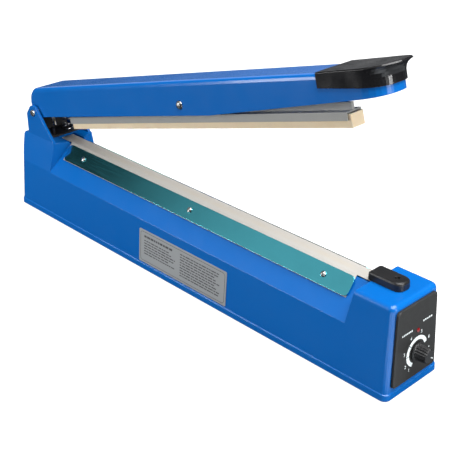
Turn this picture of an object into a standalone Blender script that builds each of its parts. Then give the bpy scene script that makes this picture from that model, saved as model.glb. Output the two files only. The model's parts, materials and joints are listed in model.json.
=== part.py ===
"""Impulse heat sealer, bench type, for seals up to 400 mm, with its arm held open by its spring.

Frame: X runs along the machine from the hinge (-X) to the control panel (+X), Y across it, Z up from the
bench.
Lengths are in metres and angles in degrees.
"""

import math

import bmesh
import bpy
from mathutils import Matrix, Vector

# ---------------------------------------------------------------- driving dimensions
BASE_LENGTH = 0.540
BASE_WIDTH = 0.0735
FOOT_GAP = 0.0012  # the casing's lower edge above the bench
RIM_HEIGHT = 0.0075
RIM_PROUD = 0.0006
CREASE_HEIGHT = 0.0555
BLOCK_HEIGHT = 0.0895
END_DRAFT = 0.0034  # how far each end wall has come in at the top of the end blocks
SIDE_DRAFT = 0.0060
CORNER_RADIUS = 0.0060
TOP_FILLET = 0.0045
CASING_WALL = 0.0025
RIDGE_TOP = 0.0868
RIDGE_WIDTH = 0.0168
FRONT_BLOCK_LENGTH = 0.0510
FRONT_BLOCK_LEAN = 0.0064  # how far the front block's inner face leans forward over the shoulder's height
REAR_BLOCK_LENGTH = 0.0585
REAR_BLOCK_YAW = 0.0105  # how much further forward that block reaches at the ridge
REAR_SLOT_LENGTH = 0.0210  # how far the ridge runs back into the rear block
REAR_SLOT_WIDTH = 0.0200

HINGE_FROM_REAR = 0.0250
HINGE_HEIGHT = 0.1158
PIN_RADIUS = 0.0025
WASHER_THICKNESS = 0.0008
WASHER_RADIUS = 0.0060
EAR_THICKNESS = 0.0032
EAR_RADIUS = 0.0085
EAR_REAR = 0.0130  # the ear's rear edge behind the pin's centre
EAR_FOOT = 0.0365  # the ear's front foot before the pin's centre

ARM_OPEN_ANGLE = 15.7
ARM_WIDTH = 0.0430
ARM_WALL = 0.0018
ARM_TAIL = 0.0062  # behind the pin
ARM_TOP = 0.0270  # above the pin's centre
ARM_BOTTOM = 0.0060  # below the pin's centre
ARM_TAIL_RADIUS = 0.0135
ARM_EDGE_RADIUS = 0.0045
ARM_REACH = 0.4970  # pin's centre to the tip of the nose
ARM_TAPER_START = 0.2950
ARM_NOSE_BOTTOM = 0.0066  # the lower edge at the tip, above the pin's centre
NOSE_LENGTH = 0.0260
NOSE_POWER = 2.5  # 2 is an ellipse in plan, and more is squarer

CAP_LENGTH = 0.0630
CAP_SKIRT_REAR = 0.0156  # the cap's lower edge above the pin's centre
CAP_SKIRT_FRONT = 0.0138
CAP_WALL = 0.0014
CAP_TOP_REAR = 0.0286
CAP_TOP_FRONT = 0.0300
CAP_LIP = 0.0086
CAP_LIP_RISE = 0.0010
CAP_SCREW_RADIUS = 0.0012

BAR_LENGTH = 0.4020
BAR_START = 0.0460  # from the pin's centre to the bar's rear end
BAR_BOLT_FROM_HINGE = 0.2560
BAR_BOLT_ABOVE_HINGE = 0.0042
BAR_TILT = 0.35  # rest angle of the bar against the arm, nose up
CHANNEL_WIDTH = 0.0190
CHANNEL_HEIGHT = 0.0072
CHANNEL_WALL = 0.0015
WEB_WIDTH = 0.0030
WEB_HEIGHT = 0.0064
STRIP_PROUD = 0.0063  # silicone standing out below the channel
STRIP_SIDE_GAP = 0.0003
STRIP_OVERHANG = 0.0030
HANGER_LENGTH = 0.0260
HANGER_WIDTH = 0.0110
HANGER_CROWN = 0.0060  # its round top about the bolt
HANGER_GRIP = 0.0048  # how far it reaches down over the bar's rib
BOLT_RADIUS = 0.0025
BOLT_HEAD_RADIUS = 0.0044

SHEET_GAP = 0.00018
INSULATOR_THICKNESS = 0.0006
INSULATOR_WIDTH = 0.0120
ELEMENT_WIDTH = 0.0050
ELEMENT_THICKNESS = 0.0002
CLOTH_THICKNESS = 0.00025
CLOTH_END_INSET = 0.0010  # the flaps' front edge behind the clamp strips' front ends
CLOTH_TUCK = 0.0100  # how far the flaps and the strip over the ridge overlap
CLAMP_WIDTH = 0.0190
CLAMP_THICKNESS = 0.0012
CLAMP_REAR_GAP = 0.0020
CLAMP_FRONT_GAP = 0.0150
CLAMP_TOP_INSET = 0.0006
CLAMP_SCREW_INSET = 0.0310
CLAMP_SCREW_RADIUS = 0.0016
CLAMP_HEAD_RADIUS = 0.0028

PANEL_WIDTH = 0.0590  # at its lower edge
PANEL_TAPER = 0.0030  # how far each side has come in at its upper edge
PANEL_HEIGHT = 0.0725
PANEL_THICKNESS = 0.0026
PANEL_RADIUS = 0.0035
PANEL_CENTRE_HEIGHT = 0.0488
PANEL_OFFSET = -0.0014
KNOB_ABOVE_PANEL_CENTRE = -0.0116
KNOB_RADIUS = 0.0085
KNOB_HEIGHT = 0.0128
KNOB_FLUTES = 18
FLUTE_DEPTH = 0.0007
KNOB_POINTER_ANGLE = -38.0
SHAFT_RADIUS = 0.0030
BUSH_RADIUS = 0.0038
BUSH_RISE = 0.0024  # above the panel
NUT_CORNER = 0.0056
NUT_HEIGHT = 0.0018
LAMP_ABOVE_PANEL_CENTRE = 0.0089
LAMP_RADIUS = 0.0020

END_BLOCK_LENGTH = 0.0345
END_BLOCK_WIDTH = 0.0180
END_BLOCK_HEIGHT = 0.0074
END_BLOCK_FROM_FRONT = 0.0112
END_BLOCK_NOSE = 0.0065
END_SCREW_RADIUS = 0.0015
END_HOLE_FROM_FRONT = 0.0100
END_HOLE_RADIUS = 0.0026

LABEL_LENGTH = 0.1290
LABEL_HEIGHT = 0.0370
LABEL_BOTTOM = 0.0090
LABEL_CENTRE_X = 0.0125
LABEL_THICKNESS = 0.0004

PLATE_THICKNESS = 0.0012
FOOT_RADIUS = 0.0070
FOOT_HEIGHT = 0.0050
FOOT_STEM_RADIUS = 0.0020
FOOT_FROM_END = 0.0300
FOOT_FROM_SIDE = 0.0150
PLATE_SCREW_FROM_END = 0.0130
PLATE_SCREW_RADIUS = 0.0015
PLATE_SCREW_LENGTH = 0.0090

CORE_LENGTH = 0.0660
CORE_WIDTH = 0.0380
CORE_HEIGHT = 0.0440
CORE_CENTRE_X = -0.1250
WINDING_BULGE = 0.0070
BOARD_LENGTH = 0.0480
BOARD_WIDTH = 0.0360
BOARD_THICKNESS = 0.0016
POT_RADIUS = 0.0085
POT_DEPTH = 0.0100
SWITCH_LENGTH = 0.0200
SWITCH_NOSE = 0.0048  # its case before the plunger
SWITCH_WIDTH = 0.0064
SWITCH_HEIGHT = 0.0102
SWITCH_FROM_HINGE = 0.0150
SWITCH_Y = -0.0110
PLUNGER_RADIUS = 0.0022
PLUNGER_RISE = 0.0100
PLUNGER_TRAVEL = 0.0025
STRIKER_RADIUS = 0.0020
STOP_CLEARANCE = 0.0008  # between the arm's tail and its stop
STOP_BACK = 0.0100  # behind the pin's centre
STOP_FRONT = 0.0025
STOP_SIDE_GAP = 0.0024  # between the stop and the ears
MAT_THICKNESS = 0.0012
MAT_FRONT_GAP = 0.0010  # short of the slot in the rear block
SPRING_FROM_HINGE = 0.0130
SPRING_SIDE_GAP = 0.0033  # from the arm's far wall
SPRING_RADIUS = 0.0058
SPRING_WIRE = 0.0006
SPRING_TURNS = 10
GLAND_BORE = 0.0035
GLAND_FLANGE = 0.0022
GLAND_RADIUS = 0.0060
GLAND_HEIGHT = 0.0280

FIT_GAP = 0.0003
RUNNING_GAP = 0.00015
ARC_STEPS = 5

# ---------------------------------------------------------------- places worked out from them
SLOPE = math.atan2(
    RIDGE_TOP - CREASE_HEIGHT,
    0.5 * (BASE_WIDTH - RIDGE_WIDTH) - SIDE_DRAFT * CREASE_HEIGHT / BLOCK_HEIGHT,
)
FRONT_FACE_X = 0.5 * BASE_LENGTH - FRONT_BLOCK_LENGTH
REAR_FACE_X = -0.5 * BASE_LENGTH + REAR_BLOCK_LENGTH
HINGE_X = -0.5 * BASE_LENGTH + HINGE_FROM_REAR
DRAFT_ANGLE = math.atan2(END_DRAFT, BLOCK_HEIGHT)
CLOTH_TOP = (
    RIDGE_TOP + 3 * SHEET_GAP + INSULATOR_THICKNESS + ELEMENT_THICKNESS + CLOTH_THICKNESS
)
MAT_TOP = BLOCK_HEIGHT + FIT_GAP + MAT_THICKNESS
ARM_HALF = 0.5 * ARM_WIDTH
EAR_INNER = ARM_HALF + WASHER_THICKNESS + 2 * FIT_GAP
EAR_OUTER = EAR_INNER + EAR_THICKNESS
NOSE_START = ARM_REACH - NOSE_LENGTH
CAP_START = ARM_REACH - CAP_LENGTH
BAR_END = BAR_START + BAR_LENGTH
# The bar's underside touches the cloth when the arm is down: from that comes how low the bar hangs.
CLOSED_ANGLE = 1.15  # the arm's slope below level when it is down
CLOSED_CLEARANCE = 0.0004
BAR_FOOT = (
    HINGE_HEIGHT
    - BAR_BOLT_FROM_HINGE * math.sin(math.radians(CLOSED_ANGLE))
    + BAR_BOLT_ABOVE_HINGE * math.cos(math.radians(CLOSED_ANGLE))
    - CLOTH_TOP
    - CLOSED_CLEARANCE
)  # the silicone's lower face below the pivot bolt
CHANNEL_BOTTOM = -BAR_FOOT + STRIP_PROUD
CHANNEL_TOP = CHANNEL_BOTTOM + CHANNEL_HEIGHT
PANEL_FOOT = Vector((0.5 * BASE_LENGTH - END_DRAFT * PANEL_CENTRE_HEIGHT / BLOCK_HEIGHT, PANEL_OFFSET,
                     PANEL_CENTRE_HEIGHT))


def half_length(z):
    """Half the casing's length at height z, above the rim."""
    return 0.5 * BASE_LENGTH - END_DRAFT * z / BLOCK_HEIGHT


def half_width(z):
    return 0.5 * BASE_WIDTH - SIDE_DRAFT * z / BLOCK_HEIGHT


# ---------------------------------------------------------------- making tools
def clear_scene():
    for thing in list(bpy.data.objects):
        bpy.data.objects.remove(thing)


def finish_of(name, colour, roughness, metallic=0.0):
    """A Principled material."""
    made = bpy.data.materials.new(name)
    made.use_nodes = True
    shader = made.node_tree.nodes["Principled BSDF"]
    shader.inputs["Base Color"].default_value = (*colour, 1.0)
    shader.inputs["Roughness"].default_value = roughness
    shader.inputs["Metallic"].default_value = metallic
    return made


def empty(name, place=(0, 0, 0), turn=None):
    made = bpy.data.objects.new(name, None)
    bpy.context.scene.collection.objects.link(made)
    made.matrix_world = Matrix.Translation(place) @ (turn or Matrix.Identity(4))
    return made


def solid(name, points, faces, finish=None, parent=None):
    """A mesh object with its faces turned outwards. Points are in the parent's frame."""
    mesh = bpy.data.meshes.new(name)
    mesh.from_pydata([tuple(p) for p in points], [], faces)
    work = bmesh.new()
    work.from_mesh(mesh)
    bmesh.ops.recalc_face_normals(work, faces=work.faces)
    work.to_mesh(mesh)
    work.free()
    made = bpy.data.objects.new(name, mesh)
    bpy.context.scene.collection.objects.link(made)
    if finish:
        mesh.materials.append(finish)
    made.parent = parent
    return made


def loft(name, rings, finish=None, parent=None, caps=None):
    """A closed solid through rings of equally many points. caps lists the end faces as runs of indices."""
    count = len(rings[0])
    points = [p for ring in rings for p in ring]
    faces = []
    for k in range(len(rings) - 1):
        for i in range(count):
            j = (i + 1) % count
            faces.append((k * count + i, k * count + j, (k + 1) * count + j, (k + 1) * count + i))
    last = (len(rings) - 1) * count
    for run in caps or [range(count)]:
        faces.append([i for i in run])
        faces.append([last + i for i in run])
    return solid(name, points, faces, finish, parent)


def prism(name, outline, low, high, axis, finish=None, parent=None):
    """The outline extruded along an axis. Its two numbers are the other axes, in X, Y, Z order."""
    places = {
        "x": lambda a, b, t: (t, a, b),
        "y": lambda a, b, t: (a, t, b),
        "z": lambda a, b, t: (a, b, t),
    }
    put = places[axis]
    return loft(name, [[put(a, b, t) for a, b in outline] for t in (low, high)], finish, parent)


def turned(name, profile, steps, finish=None, parent=None, frame=None):
    """A solid of revolution about local Z, from its profile of (radius, height), both ends on the axis."""
    frame = frame or Matrix.Identity(4)
    points = [Vector((0, 0, profile[0][1]))]
    for radius, height in profile[1:-1]:
        for i in range(steps):
            turn = 2 * math.pi * i / steps
            points.append(Vector((radius * math.cos(turn), radius * math.sin(turn), height)))
    points.append(Vector((0, 0, profile[-1][1])))
    rows = len(profile) - 2
    faces = []
    for i in range(steps):
        j = (i + 1) % steps
        faces.append((0, 1 + j, 1 + i))
        for k in range(rows - 1):
            low, high = 1 + k * steps, 1 + (k + 1) * steps
            faces.append((low + i, low + j, high + j, high + i))
        top = 1 + (rows - 1) * steps
        faces.append((top + i, top + j, len(points) - 1))
    made = solid(name, [frame @ p for p in points], faces, finish, parent)
    made.data.shade_smooth()
    made.data.set_sharp_from_angle(angle=math.radians(35))
    return made


def rod(name, radius, low, high, axis="z", centre=(0, 0, 0), steps=24, finish=None, parent=None):
    turns = {"z": Matrix.Identity(4), "x": Matrix.Rotation(math.pi / 2, 4, "Y"),
             "y": Matrix.Rotation(-math.pi / 2, 4, "X")}
    frame = Matrix.Translation(centre) @ turns[axis]
    return turned(name, [(0, low), (radius, low), (radius, high), (0, high)], steps, finish, parent, frame)


def box(name, low, high, finish=None, parent=None):
    outline = [(low[0], low[1]), (high[0], low[1]), (high[0], high[1]), (low[0], high[1])]
    return prism(name, outline, low[2], high[2], "z", finish, parent)


def boolean(target, other, operation):
    cutter = target.modifiers.new(operation.lower() + "_" + other.name, "BOOLEAN")
    cutter.operation = operation
    cutter.object = other
    other.hide_render = True
    other.display_type = "WIRE"


def cut(target, *others):
    for other in others:
        boolean(target, other, "DIFFERENCE")


def join(target, *others):
    for other in others:
        boolean(target, other, "UNION")


def rounded_rectangle(x0, x1, y0, y1, radius, steps=ARC_STEPS):
    """Corner points of a rectangle with round corners, anticlockwise."""
    radius = max(radius, 0.00005)
    corners = [(x1, y1, 0), (x0, y1, 90), (x0, y0, 180), (x1, y0, 270)]
    points = []
    for x, y, start in corners:
        cx = x - radius if x == x1 else x + radius
        cy = y - radius if y == y1 else y + radius
        for k in range(steps + 1):
            turn = math.radians(start + 90 * k / steps)
            points.append((cx + radius * math.cos(turn), cy + radius * math.sin(turn)))
    return points


def swept(name, path, radius, sides, finish=None, parent=None):
    """A round wire along the path."""
    path = [Vector(p) for p in path]
    rings = []
    side = None
    for i, point in enumerate(path):
        ahead = (path[min(i + 1, len(path) - 1)] - path[max(i - 1, 0)]).normalized()
        if side is None:
            side = ahead.orthogonal().normalized()
        side = (side - ahead * side.dot(ahead)).normalized()
        other = ahead.cross(side)
        turns = [2 * math.pi * k / sides for k in range(sides)]
        rings.append([point + radius * (math.cos(t) * side + math.sin(t) * other) for t in turns])
    return loft(name, rings, finish, parent)


# ---------------------------------------------------------------- casing
def casing_rings(inset):
    """Plan rings of the whole casing block, drawn in by inset, up to its rounded top edges."""
    rings = []

    def ring(z, shrink, radius):
        a, b = half_length(z) - inset - shrink, half_width(z) - inset - shrink
        rings.append([(x, y, z) for x, y in rounded_rectangle(-a, a, -b, b, radius)])

    corner = max(CORNER_RADIUS - inset, 0.001)
    if inset:
        ring(-0.02, 0, corner)
        ring(BLOCK_HEIGHT - inset, 0, corner)
        return rings
    ring(FOOT_GAP, -RIM_PROUD, corner)
    ring(RIM_HEIGHT - RIM_PROUD, -RIM_PROUD, corner)
    ring(RIM_HEIGHT, 0, corner)
    for k in range(ARC_STEPS + 1):
        turn = math.radians(90 * k / ARC_STEPS)
        drop = TOP_FILLET * (1 - math.sin(turn))
        shrink = TOP_FILLET * (1 - math.cos(turn))
        ring(BLOCK_HEIGHT - drop, shrink, corner - 0.8 * shrink)
    return rings


def shoulder_cutter(offset):
    """The space above the two sloping shoulders and the ridge, between the end blocks, grown by offset."""
    reach = 0.5 * BASE_WIDTH + 0.02
    top = BLOCK_HEIGHT + 0.03
    ridge = 0.5 * RIDGE_WIDTH + offset * (math.cos(SLOPE) - 1) / math.sin(SLOPE)
    ridge_z = RIDGE_TOP - offset
    low = ridge_z - (reach - ridge) * math.tan(SLOPE)
    outline = [(-reach, low), (-ridge, ridge_z), (ridge, ridge_z), (reach, low),
               (reach, top), (ridge, top), (-ridge, top), (-reach, top)]
    run = half_width(CREASE_HEIGHT) - 0.5 * RIDGE_WIDTH

    def rear_x(y):
        return REAR_FACE_X - offset + REAR_BLOCK_YAW * (half_width(CREASE_HEIGHT) - abs(y)) / run

    def front_x(z):
        lean = FRONT_BLOCK_LEAN * (z - CREASE_HEIGHT) / (BLOCK_HEIGHT - CREASE_HEIGHT)
        return FRONT_FACE_X + offset + lean

    rings = [[(rear_x(y), y, z) for y, z in outline], [(front_x(z), y, z) for y, z in outline]]
    caps = [(0, 1, 6, 7), (1, 2, 5, 6), (2, 3, 4, 5)]
    return loft("shoulder_cutter_%d" % (offset * 1e4), rings, caps=caps)


def slot_end():
    """Where the ridge stops inside the rear block."""
    return REAR_FACE_X + REAR_BLOCK_YAW - REAR_SLOT_LENGTH


def slot_cutter(offset):
    """The slot in the rear block's top that the ridge runs back into, grown by offset."""
    half = 0.5 * REAR_SLOT_WIDTH + offset
    return box("slot_cutter_%d" % (offset * 1e4), (slot_end() - offset, -half, RIDGE_TOP - offset),
               (REAR_FACE_X + REAR_BLOCK_YAW + 0.004, half, BLOCK_HEIGHT + 0.01))


def cheek_cutter(side, offset):
    """What makes the rear block's side wall lean in, from the crease to the ear."""
    reach = side * (0.5 * BASE_WIDTH + 0.03)
    lift = 0.02
    low = Vector((half_width(CREASE_HEIGHT) - offset, CREASE_HEIGHT))
    high = Vector((EAR_OUTER - offset, BLOCK_HEIGHT))
    grow = (high - low) * (lift / (high - low).length)
    high = high + grow
    outline = [(side * low[0], low[1]), (side * high[0], high[1]), (reach, high[1]), (reach, low[1])]
    name = "cheek_cutter_%d_%d" % (side, offset * 1e4)
    return prism(name, outline, -BASE_LENGTH, REAR_FACE_X + REAR_BLOCK_YAW, "x")


def ear(side):
    """One hinge ear's side outline, from its rear foot round the pin to its front foot."""
    foot = BLOCK_HEIGHT - 0.8 * CASING_WALL
    lean = math.atan2(HINGE_HEIGHT - foot, EAR_FOOT)
    start = math.pi / 2 - lean + math.radians(6)
    outline = [(HINGE_X - EAR_REAR, foot), (HINGE_X + EAR_FOOT, foot)]
    steps = 2 * ARC_STEPS
    for k in range(steps + 1):
        turn = start + (math.pi * 0.86 - start) * k / steps
        outline.append((HINGE_X + EAR_RADIUS * math.cos(turn), HINGE_HEIGHT + EAR_RADIUS * math.sin(turn)))
    outline.append((HINGE_X - EAR_REAR, HINGE_HEIGHT - 0.4 * EAR_RADIUS))
    low, high = sorted((side * EAR_INNER, side * EAR_OUTER))
    return prism("ear_blank_%d" % side, outline, low, high, "y")


def make_casing(finish):
    casing = loft("base_housing", casing_rings(0), finish)
    cut(casing, shoulder_cutter(0), slot_cutter(0))
    hollow = loft("casing_hollow", casing_rings(CASING_WALL))
    cut(hollow, shoulder_cutter(CASING_WALL), slot_cutter(CASING_WALL))
    for side in (-1, 1):
        cut(casing, cheek_cutter(side, 0))
        cut(hollow, cheek_cutter(side, CASING_WALL))
    cut(casing, hollow)
    for side in (-1, 1):
        join(casing, ear(side))
    reach = EAR_OUTER + 0.01
    cut(casing, rod("pin_bore", PIN_RADIUS + RUNNING_GAP, -reach, reach, "y", (HINGE_X, 0, HINGE_HEIGHT)))
    cut(casing, *panel_bores(), *ridge_bores(), *rear_bores())
    return casing


def panel_bores():
    """Holes through the front wall for the timer's bush and the lamp."""
    made = []
    for name, radius, height in (("bush_bore", BUSH_RADIUS, KNOB_ABOVE_PANEL_CENTRE),
                                 ("lamp_bore", LAMP_RADIUS, LAMP_ABOVE_PANEL_CENTRE)):
        made.append(rod(name, radius + FIT_GAP, -0.02, 0.02, "z", (-PANEL_OFFSET, height, 0), parent=PANEL))
    return made


def clamp_screw_places():
    """X of the clamp strips' three screws."""
    ends = (clamp_ends()[0] + CLAMP_SCREW_INSET, clamp_ends()[1] - CLAMP_SCREW_INSET)
    return [ends[0], 0.5 * (ends[0] + ends[1]), ends[1]]


def slope_frame(side, along, up, out):
    """A frame on a shoulder: up its slope from the ridge's edge downwards, out along its normal."""
    down = Vector((0, side * math.cos(SLOPE), -math.sin(SLOPE)))
    normal = Vector((0, side * math.sin(SLOPE), math.cos(SLOPE)))
    place = Vector((along, side * 0.5 * RIDGE_WIDTH, RIDGE_TOP)) + down * up + normal * out
    across = down.cross(normal)
    turn = Matrix((across, down, normal)).transposed().to_4x4()
    return Matrix.Translation(place) @ turn


def clamp_ends():
    rear = REAR_FACE_X + REAR_BLOCK_YAW + CLAMP_REAR_GAP
    return rear, FRONT_FACE_X + FRONT_BLOCK_LEAN - CLAMP_FRONT_GAP


def ridge_bores():
    """Screw holes in the shoulders, and the end block's screw hole in the front block's top."""
    made = []
    depth = CASING_WALL + 0.004
    for side in (-1, 1):
        for i, x in enumerate(clamp_screw_places()):
            frame = slope_frame(side, x, CLAMP_TOP_INSET + 0.5 * CLAMP_WIDTH, 0)
            profile = [(0, -depth), (CLAMP_SCREW_RADIUS + FIT_GAP, -depth),
                       (CLAMP_SCREW_RADIUS + FIT_GAP, 0.003), (0, 0.003)]
            made.append(turned("clamp_bore_%d_%d" % (side, i), profile, 12, frame=frame))
    centre = (end_block_front() - END_HOLE_FROM_FRONT, 0, BLOCK_HEIGHT)
    made.append(rod("end_screw_bore", END_SCREW_RADIUS + FIT_GAP, -0.01, 0.01, "z", centre))
    return made


def rear_bores():
    """Holes for the switch's plunger and the cord's gland."""
    above = (HINGE_X + SWITCH_FROM_HINGE, SWITCH_Y, BLOCK_HEIGHT)
    plunger = rod("plunger_bore", PLUNGER_RADIUS + FIT_GAP, -0.01, 0.01, "z", above)
    behind = (-0.5 * BASE_LENGTH, 0, GLAND_HEIGHT)
    gland = rod("gland_bore", GLAND_RADIUS + FIT_GAP, -0.01, 0.01, "x", behind)
    return [plunger, gland]


def make_bottom(steel, rubber):
    """The bottom plate inside the skirt, its feet and its screws."""
    low = FOOT_GAP + 0.0004
    top = low + PLATE_THICKNESS
    gap = CASING_WALL + 2 * FIT_GAP
    a, b = half_length(0) - gap, half_width(0) - gap
    outline = rounded_rectangle(-a, a, -b, b, CORNER_RADIUS)
    plate = prism("bottom_plate", outline, low, top, "z", steel)
    reach = low - FIT_GAP
    foot = [(0, 0), (FOOT_RADIUS - 0.0008, 0), (FOOT_RADIUS, 0.0005), (FOOT_RADIUS, reach),
            (FOOT_STEM_RADIUS, reach), (FOOT_STEM_RADIUS, top + FIT_GAP),
            (1.7 * FOOT_STEM_RADIUS, top + FIT_GAP), (1.3 * FOOT_STEM_RADIUS, top + 0.0022),
            (0, top + 0.0022)]
    head = 1.9 * PLATE_SCREW_RADIUS
    screw = [(0, FOOT_GAP - 0.0009), (0.8 * head, FOOT_GAP - 0.0007), (head, reach),
             (PLATE_SCREW_RADIUS, reach), (PLATE_SCREW_RADIUS, top + PLATE_SCREW_LENGTH - 0.001),
             (0, top + PLATE_SCREW_LENGTH)]
    for i, (sx, sy) in enumerate(((-1, -1), (1, -1), (1, 1), (-1, 1))):
        y = sy * (b - FOOT_FROM_SIDE)
        for name, profile, radius, inset, steps, finish in (
                ("rubber_foot", foot, FOOT_STEM_RADIUS, FOOT_FROM_END, 20, rubber),
                ("bottom_screw", screw, PLATE_SCREW_RADIUS, PLATE_SCREW_FROM_END, 12, steel)):
            centre = (sx * (a - inset), y, 0)
            cut(plate, rod("%s_bore_%d" % (name, i), radius + FIT_GAP, -0.01, 0.01, "z", centre, 12))
            frame = Matrix.Translation(centre)
            turned("%s_%d" % (name, i + 1), profile, steps, finish, frame=frame)
    return top


# ---------------------------------------------------------------- sealing ridge
def cloth_outline(down):
    """The cloth's section: flat over the element, then close down each shoulder, one sheet thick."""
    flat_z = CLOTH_TOP - CLOTH_THICKNESS
    normal_gap = SHEET_GAP
    points = {}
    for name, grow in (("inner", 0.0), ("outer", CLOTH_THICKNESS)):
        z = flat_z + grow
        out = normal_gap + grow
        # the offset shoulder line meets the height z at this half width
        edge = 0.5 * RIDGE_WIDTH + out / math.sin(SLOPE) - (z - RIDGE_TOP) / math.tan(SLOPE)
        foot_y = 0.5 * RIDGE_WIDTH + out * math.sin(SLOPE) + down * math.cos(SLOPE)
        foot_z = RIDGE_TOP + out * math.cos(SLOPE) - down * math.sin(SLOPE)
        points[name] = [(edge, z), (foot_y, foot_z)]
    inner, outer = points["inner"], points["outer"]
    right = [outer[0], outer[1], inner[1], inner[0]]
    left = [(-y, z) for y, z in reversed(right)]
    return right + left


def make_ridge(insulation, nichrome, cloth):
    """What lies along the ridge: insulating strip, element and the cloth over both."""
    rear, front = clamp_ends()
    back = slot_end() + 2 * FIT_GAP
    lean = FRONT_BLOCK_LEAN * (RIDGE_TOP - CREASE_HEIGHT) / (BLOCK_HEIGHT - CREASE_HEIGHT)
    end = FRONT_FACE_X + lean - 2 * FIT_GAP
    top = RIDGE_TOP + SHEET_GAP
    half = 0.5 * INSULATOR_WIDTH
    box("insulating_strip", (back, -half, top), (end, half, top + INSULATOR_THICKNESS), insulation)
    top += INSULATOR_THICKNESS + SHEET_GAP
    half = 0.5 * ELEMENT_WIDTH
    box("heating_element", (back, -half, top), (end, half, top + ELEMENT_THICKNESS), nichrome)
    outline = cloth_outline(CLAMP_TOP_INSET + CLAMP_WIDTH + 0.0004)
    start = rear - CLAMP_REAR_GAP + 3 * FIT_GAP
    sheet = prism("ptfe_cloth", outline, start, front - CLOTH_END_INSET, "x", cloth)
    half = 0.5 * RIDGE_WIDTH - 0.0001
    low = CLOTH_TOP - CLOTH_THICKNESS
    join(sheet, box("cloth_tongue", (back, -half, low), (rear + CLOTH_TUCK, half, CLOTH_TOP)))
    join(sheet, box("cloth_front", (front - CLOTH_TUCK, -half, low), (end, half, CLOTH_TOP)))
    return sheet


def make_clamps(sheet, alloy, steel):
    """The two clamp strips with their screws, through the cloth into the shoulders."""
    rear, front = clamp_ends()
    lift = 2 * SHEET_GAP + CLOTH_THICKNESS
    base = lift + CLAMP_THICKNESS + FIT_GAP
    bore_radius = CLAMP_SCREW_RADIUS + FIT_GAP
    bore_profile = [(0, -0.001), (bore_radius, -0.001), (bore_radius, 0.004), (0, 0.004)]
    head = CLAMP_HEAD_RADIUS
    screw = [(0, -CASING_WALL - 0.002), (CLAMP_SCREW_RADIUS, -CASING_WALL - 0.0015),
             (CLAMP_SCREW_RADIUS, base), (head, base), (head, base + 0.0005),
             (0.8 * head, base + 0.0013), (0.4 * head, base + 0.0018), (0, base + 0.0019)]
    for side, word in ((-1, "near"), (1, "far")):
        frame = slope_frame(side, 0, CLAMP_TOP_INSET, lift)
        strip = clamp_strip("clamp_strip_" + word, frame, rear, front, alloy)
        for i, x in enumerate(clamp_screw_places()):
            seat = slope_frame(side, x, CLAMP_TOP_INSET + 0.5 * CLAMP_WIDTH, 0)
            bore = turned("screw_hole_%s_%d" % (word, i), bore_profile, 12, frame=seat)
            cut(strip, bore)
            cut(sheet, bore)
            turned("clamp_screw_%s_%d" % (word, i + 1), screw, 16, steel, frame=seat)


def clamp_strip(name, frame, rear, front, finish):
    """A flat bar with round corners, lying on one shoulder."""
    across = frame.to_3x3().col[0][0]  # its long axis runs along X, one way or the other
    ends = sorted((rear * across, front * across))
    outline = rounded_rectangle(ends[0], ends[1], 0, CLAMP_WIDTH, 0.0045, 3)
    rings = [[frame @ Vector((u, v, w)) for u, v in outline] for w in (0, CLAMP_THICKNESS)]
    return loft(name, rings, finish)


def make_terminals(brass, spring_steel):
    """The element's two anchors, one at each end of the ridge, inside the casing."""
    rear, front = clamp_ends()
    height = RIDGE_TOP - CASING_WALL - FIT_GAP
    inset, length, half = 0.004, 0.012, 0.004
    for name, start in (("rear_terminal", rear + inset), ("front_terminal", front - inset - length)):
        box(name, (start, -half, height - 2 * half), (start + length, half, height), brass)
    turns, pitch, radius, wire = 7, 0.0017, 0.0030, 0.0005
    steps = 12
    place = Vector((rear + inset + length + 0.002, 0, height - 0.0045))
    path = []
    for i in range(turns * steps + 1):
        turn = 2 * math.pi * i / steps
        path.append(place + Vector((pitch * i / steps, radius * math.cos(turn), radius * math.sin(turn))))
    swept("terminal_spring", path, wire, 6, spring_steel)


def end_block_front():
    return half_length(BLOCK_HEIGHT) - END_BLOCK_FROM_FRONT


def make_end_block(plastic, screw_steel):
    """The black cover over the element's front end, with its fixing screw down a hole."""
    front = end_block_front()
    rear = front - END_BLOCK_LENGTH
    half = 0.5 * END_BLOCK_WIDTH
    low = BLOCK_HEIGHT + FIT_GAP
    rings = []
    for rise, shrink in ((0, 0), (END_BLOCK_HEIGHT - 0.0018, 0.0002), (END_BLOCK_HEIGHT - 0.0006, 0.0008),
                         (END_BLOCK_HEIGHT, 0.0020)):
        outline = end_block_outline(rear + shrink, front - shrink, half - shrink)
        rings.append([(x, y, low + rise) for x, y in outline])
    block = loft("element_end_cover", rings, plastic)
    place = (front - END_HOLE_FROM_FRONT, 0, 0)
    seat = low + 0.0030
    cut(block, rod("end_hole", END_HOLE_RADIUS, seat, low + 0.02, "z", place, 16))
    cut(block, rod("end_hole_shank", END_SCREW_RADIUS + FIT_GAP, low - 0.01, seat + 0.001, "z", place, 12))
    head = END_HOLE_RADIUS - FIT_GAP
    profile = [(0, BLOCK_HEIGHT - 0.007), (END_SCREW_RADIUS, BLOCK_HEIGHT - 0.0065),
               (END_SCREW_RADIUS, seat + FIT_GAP), (head, seat + FIT_GAP), (head, seat + 0.0012),
               (0, seat + 0.0016)]
    turned("end_cover_screw", profile, 12, screw_steel, frame=Matrix.Translation(place))


def end_block_outline(rear, front, half):
    """Square at the rear with small corners, round at the front."""
    nose = END_BLOCK_NOSE
    corner = 0.0015
    points = []
    for k in range(ARC_STEPS + 1):
        turn = math.radians(90 * k / ARC_STEPS)
        points.append((front - nose + nose * math.cos(turn), half - nose + nose * math.sin(turn)))
    points.append((rear + corner, half))
    points.append((rear, half - corner))
    return points + [(x, -y) for x, y in reversed(points)]


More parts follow.
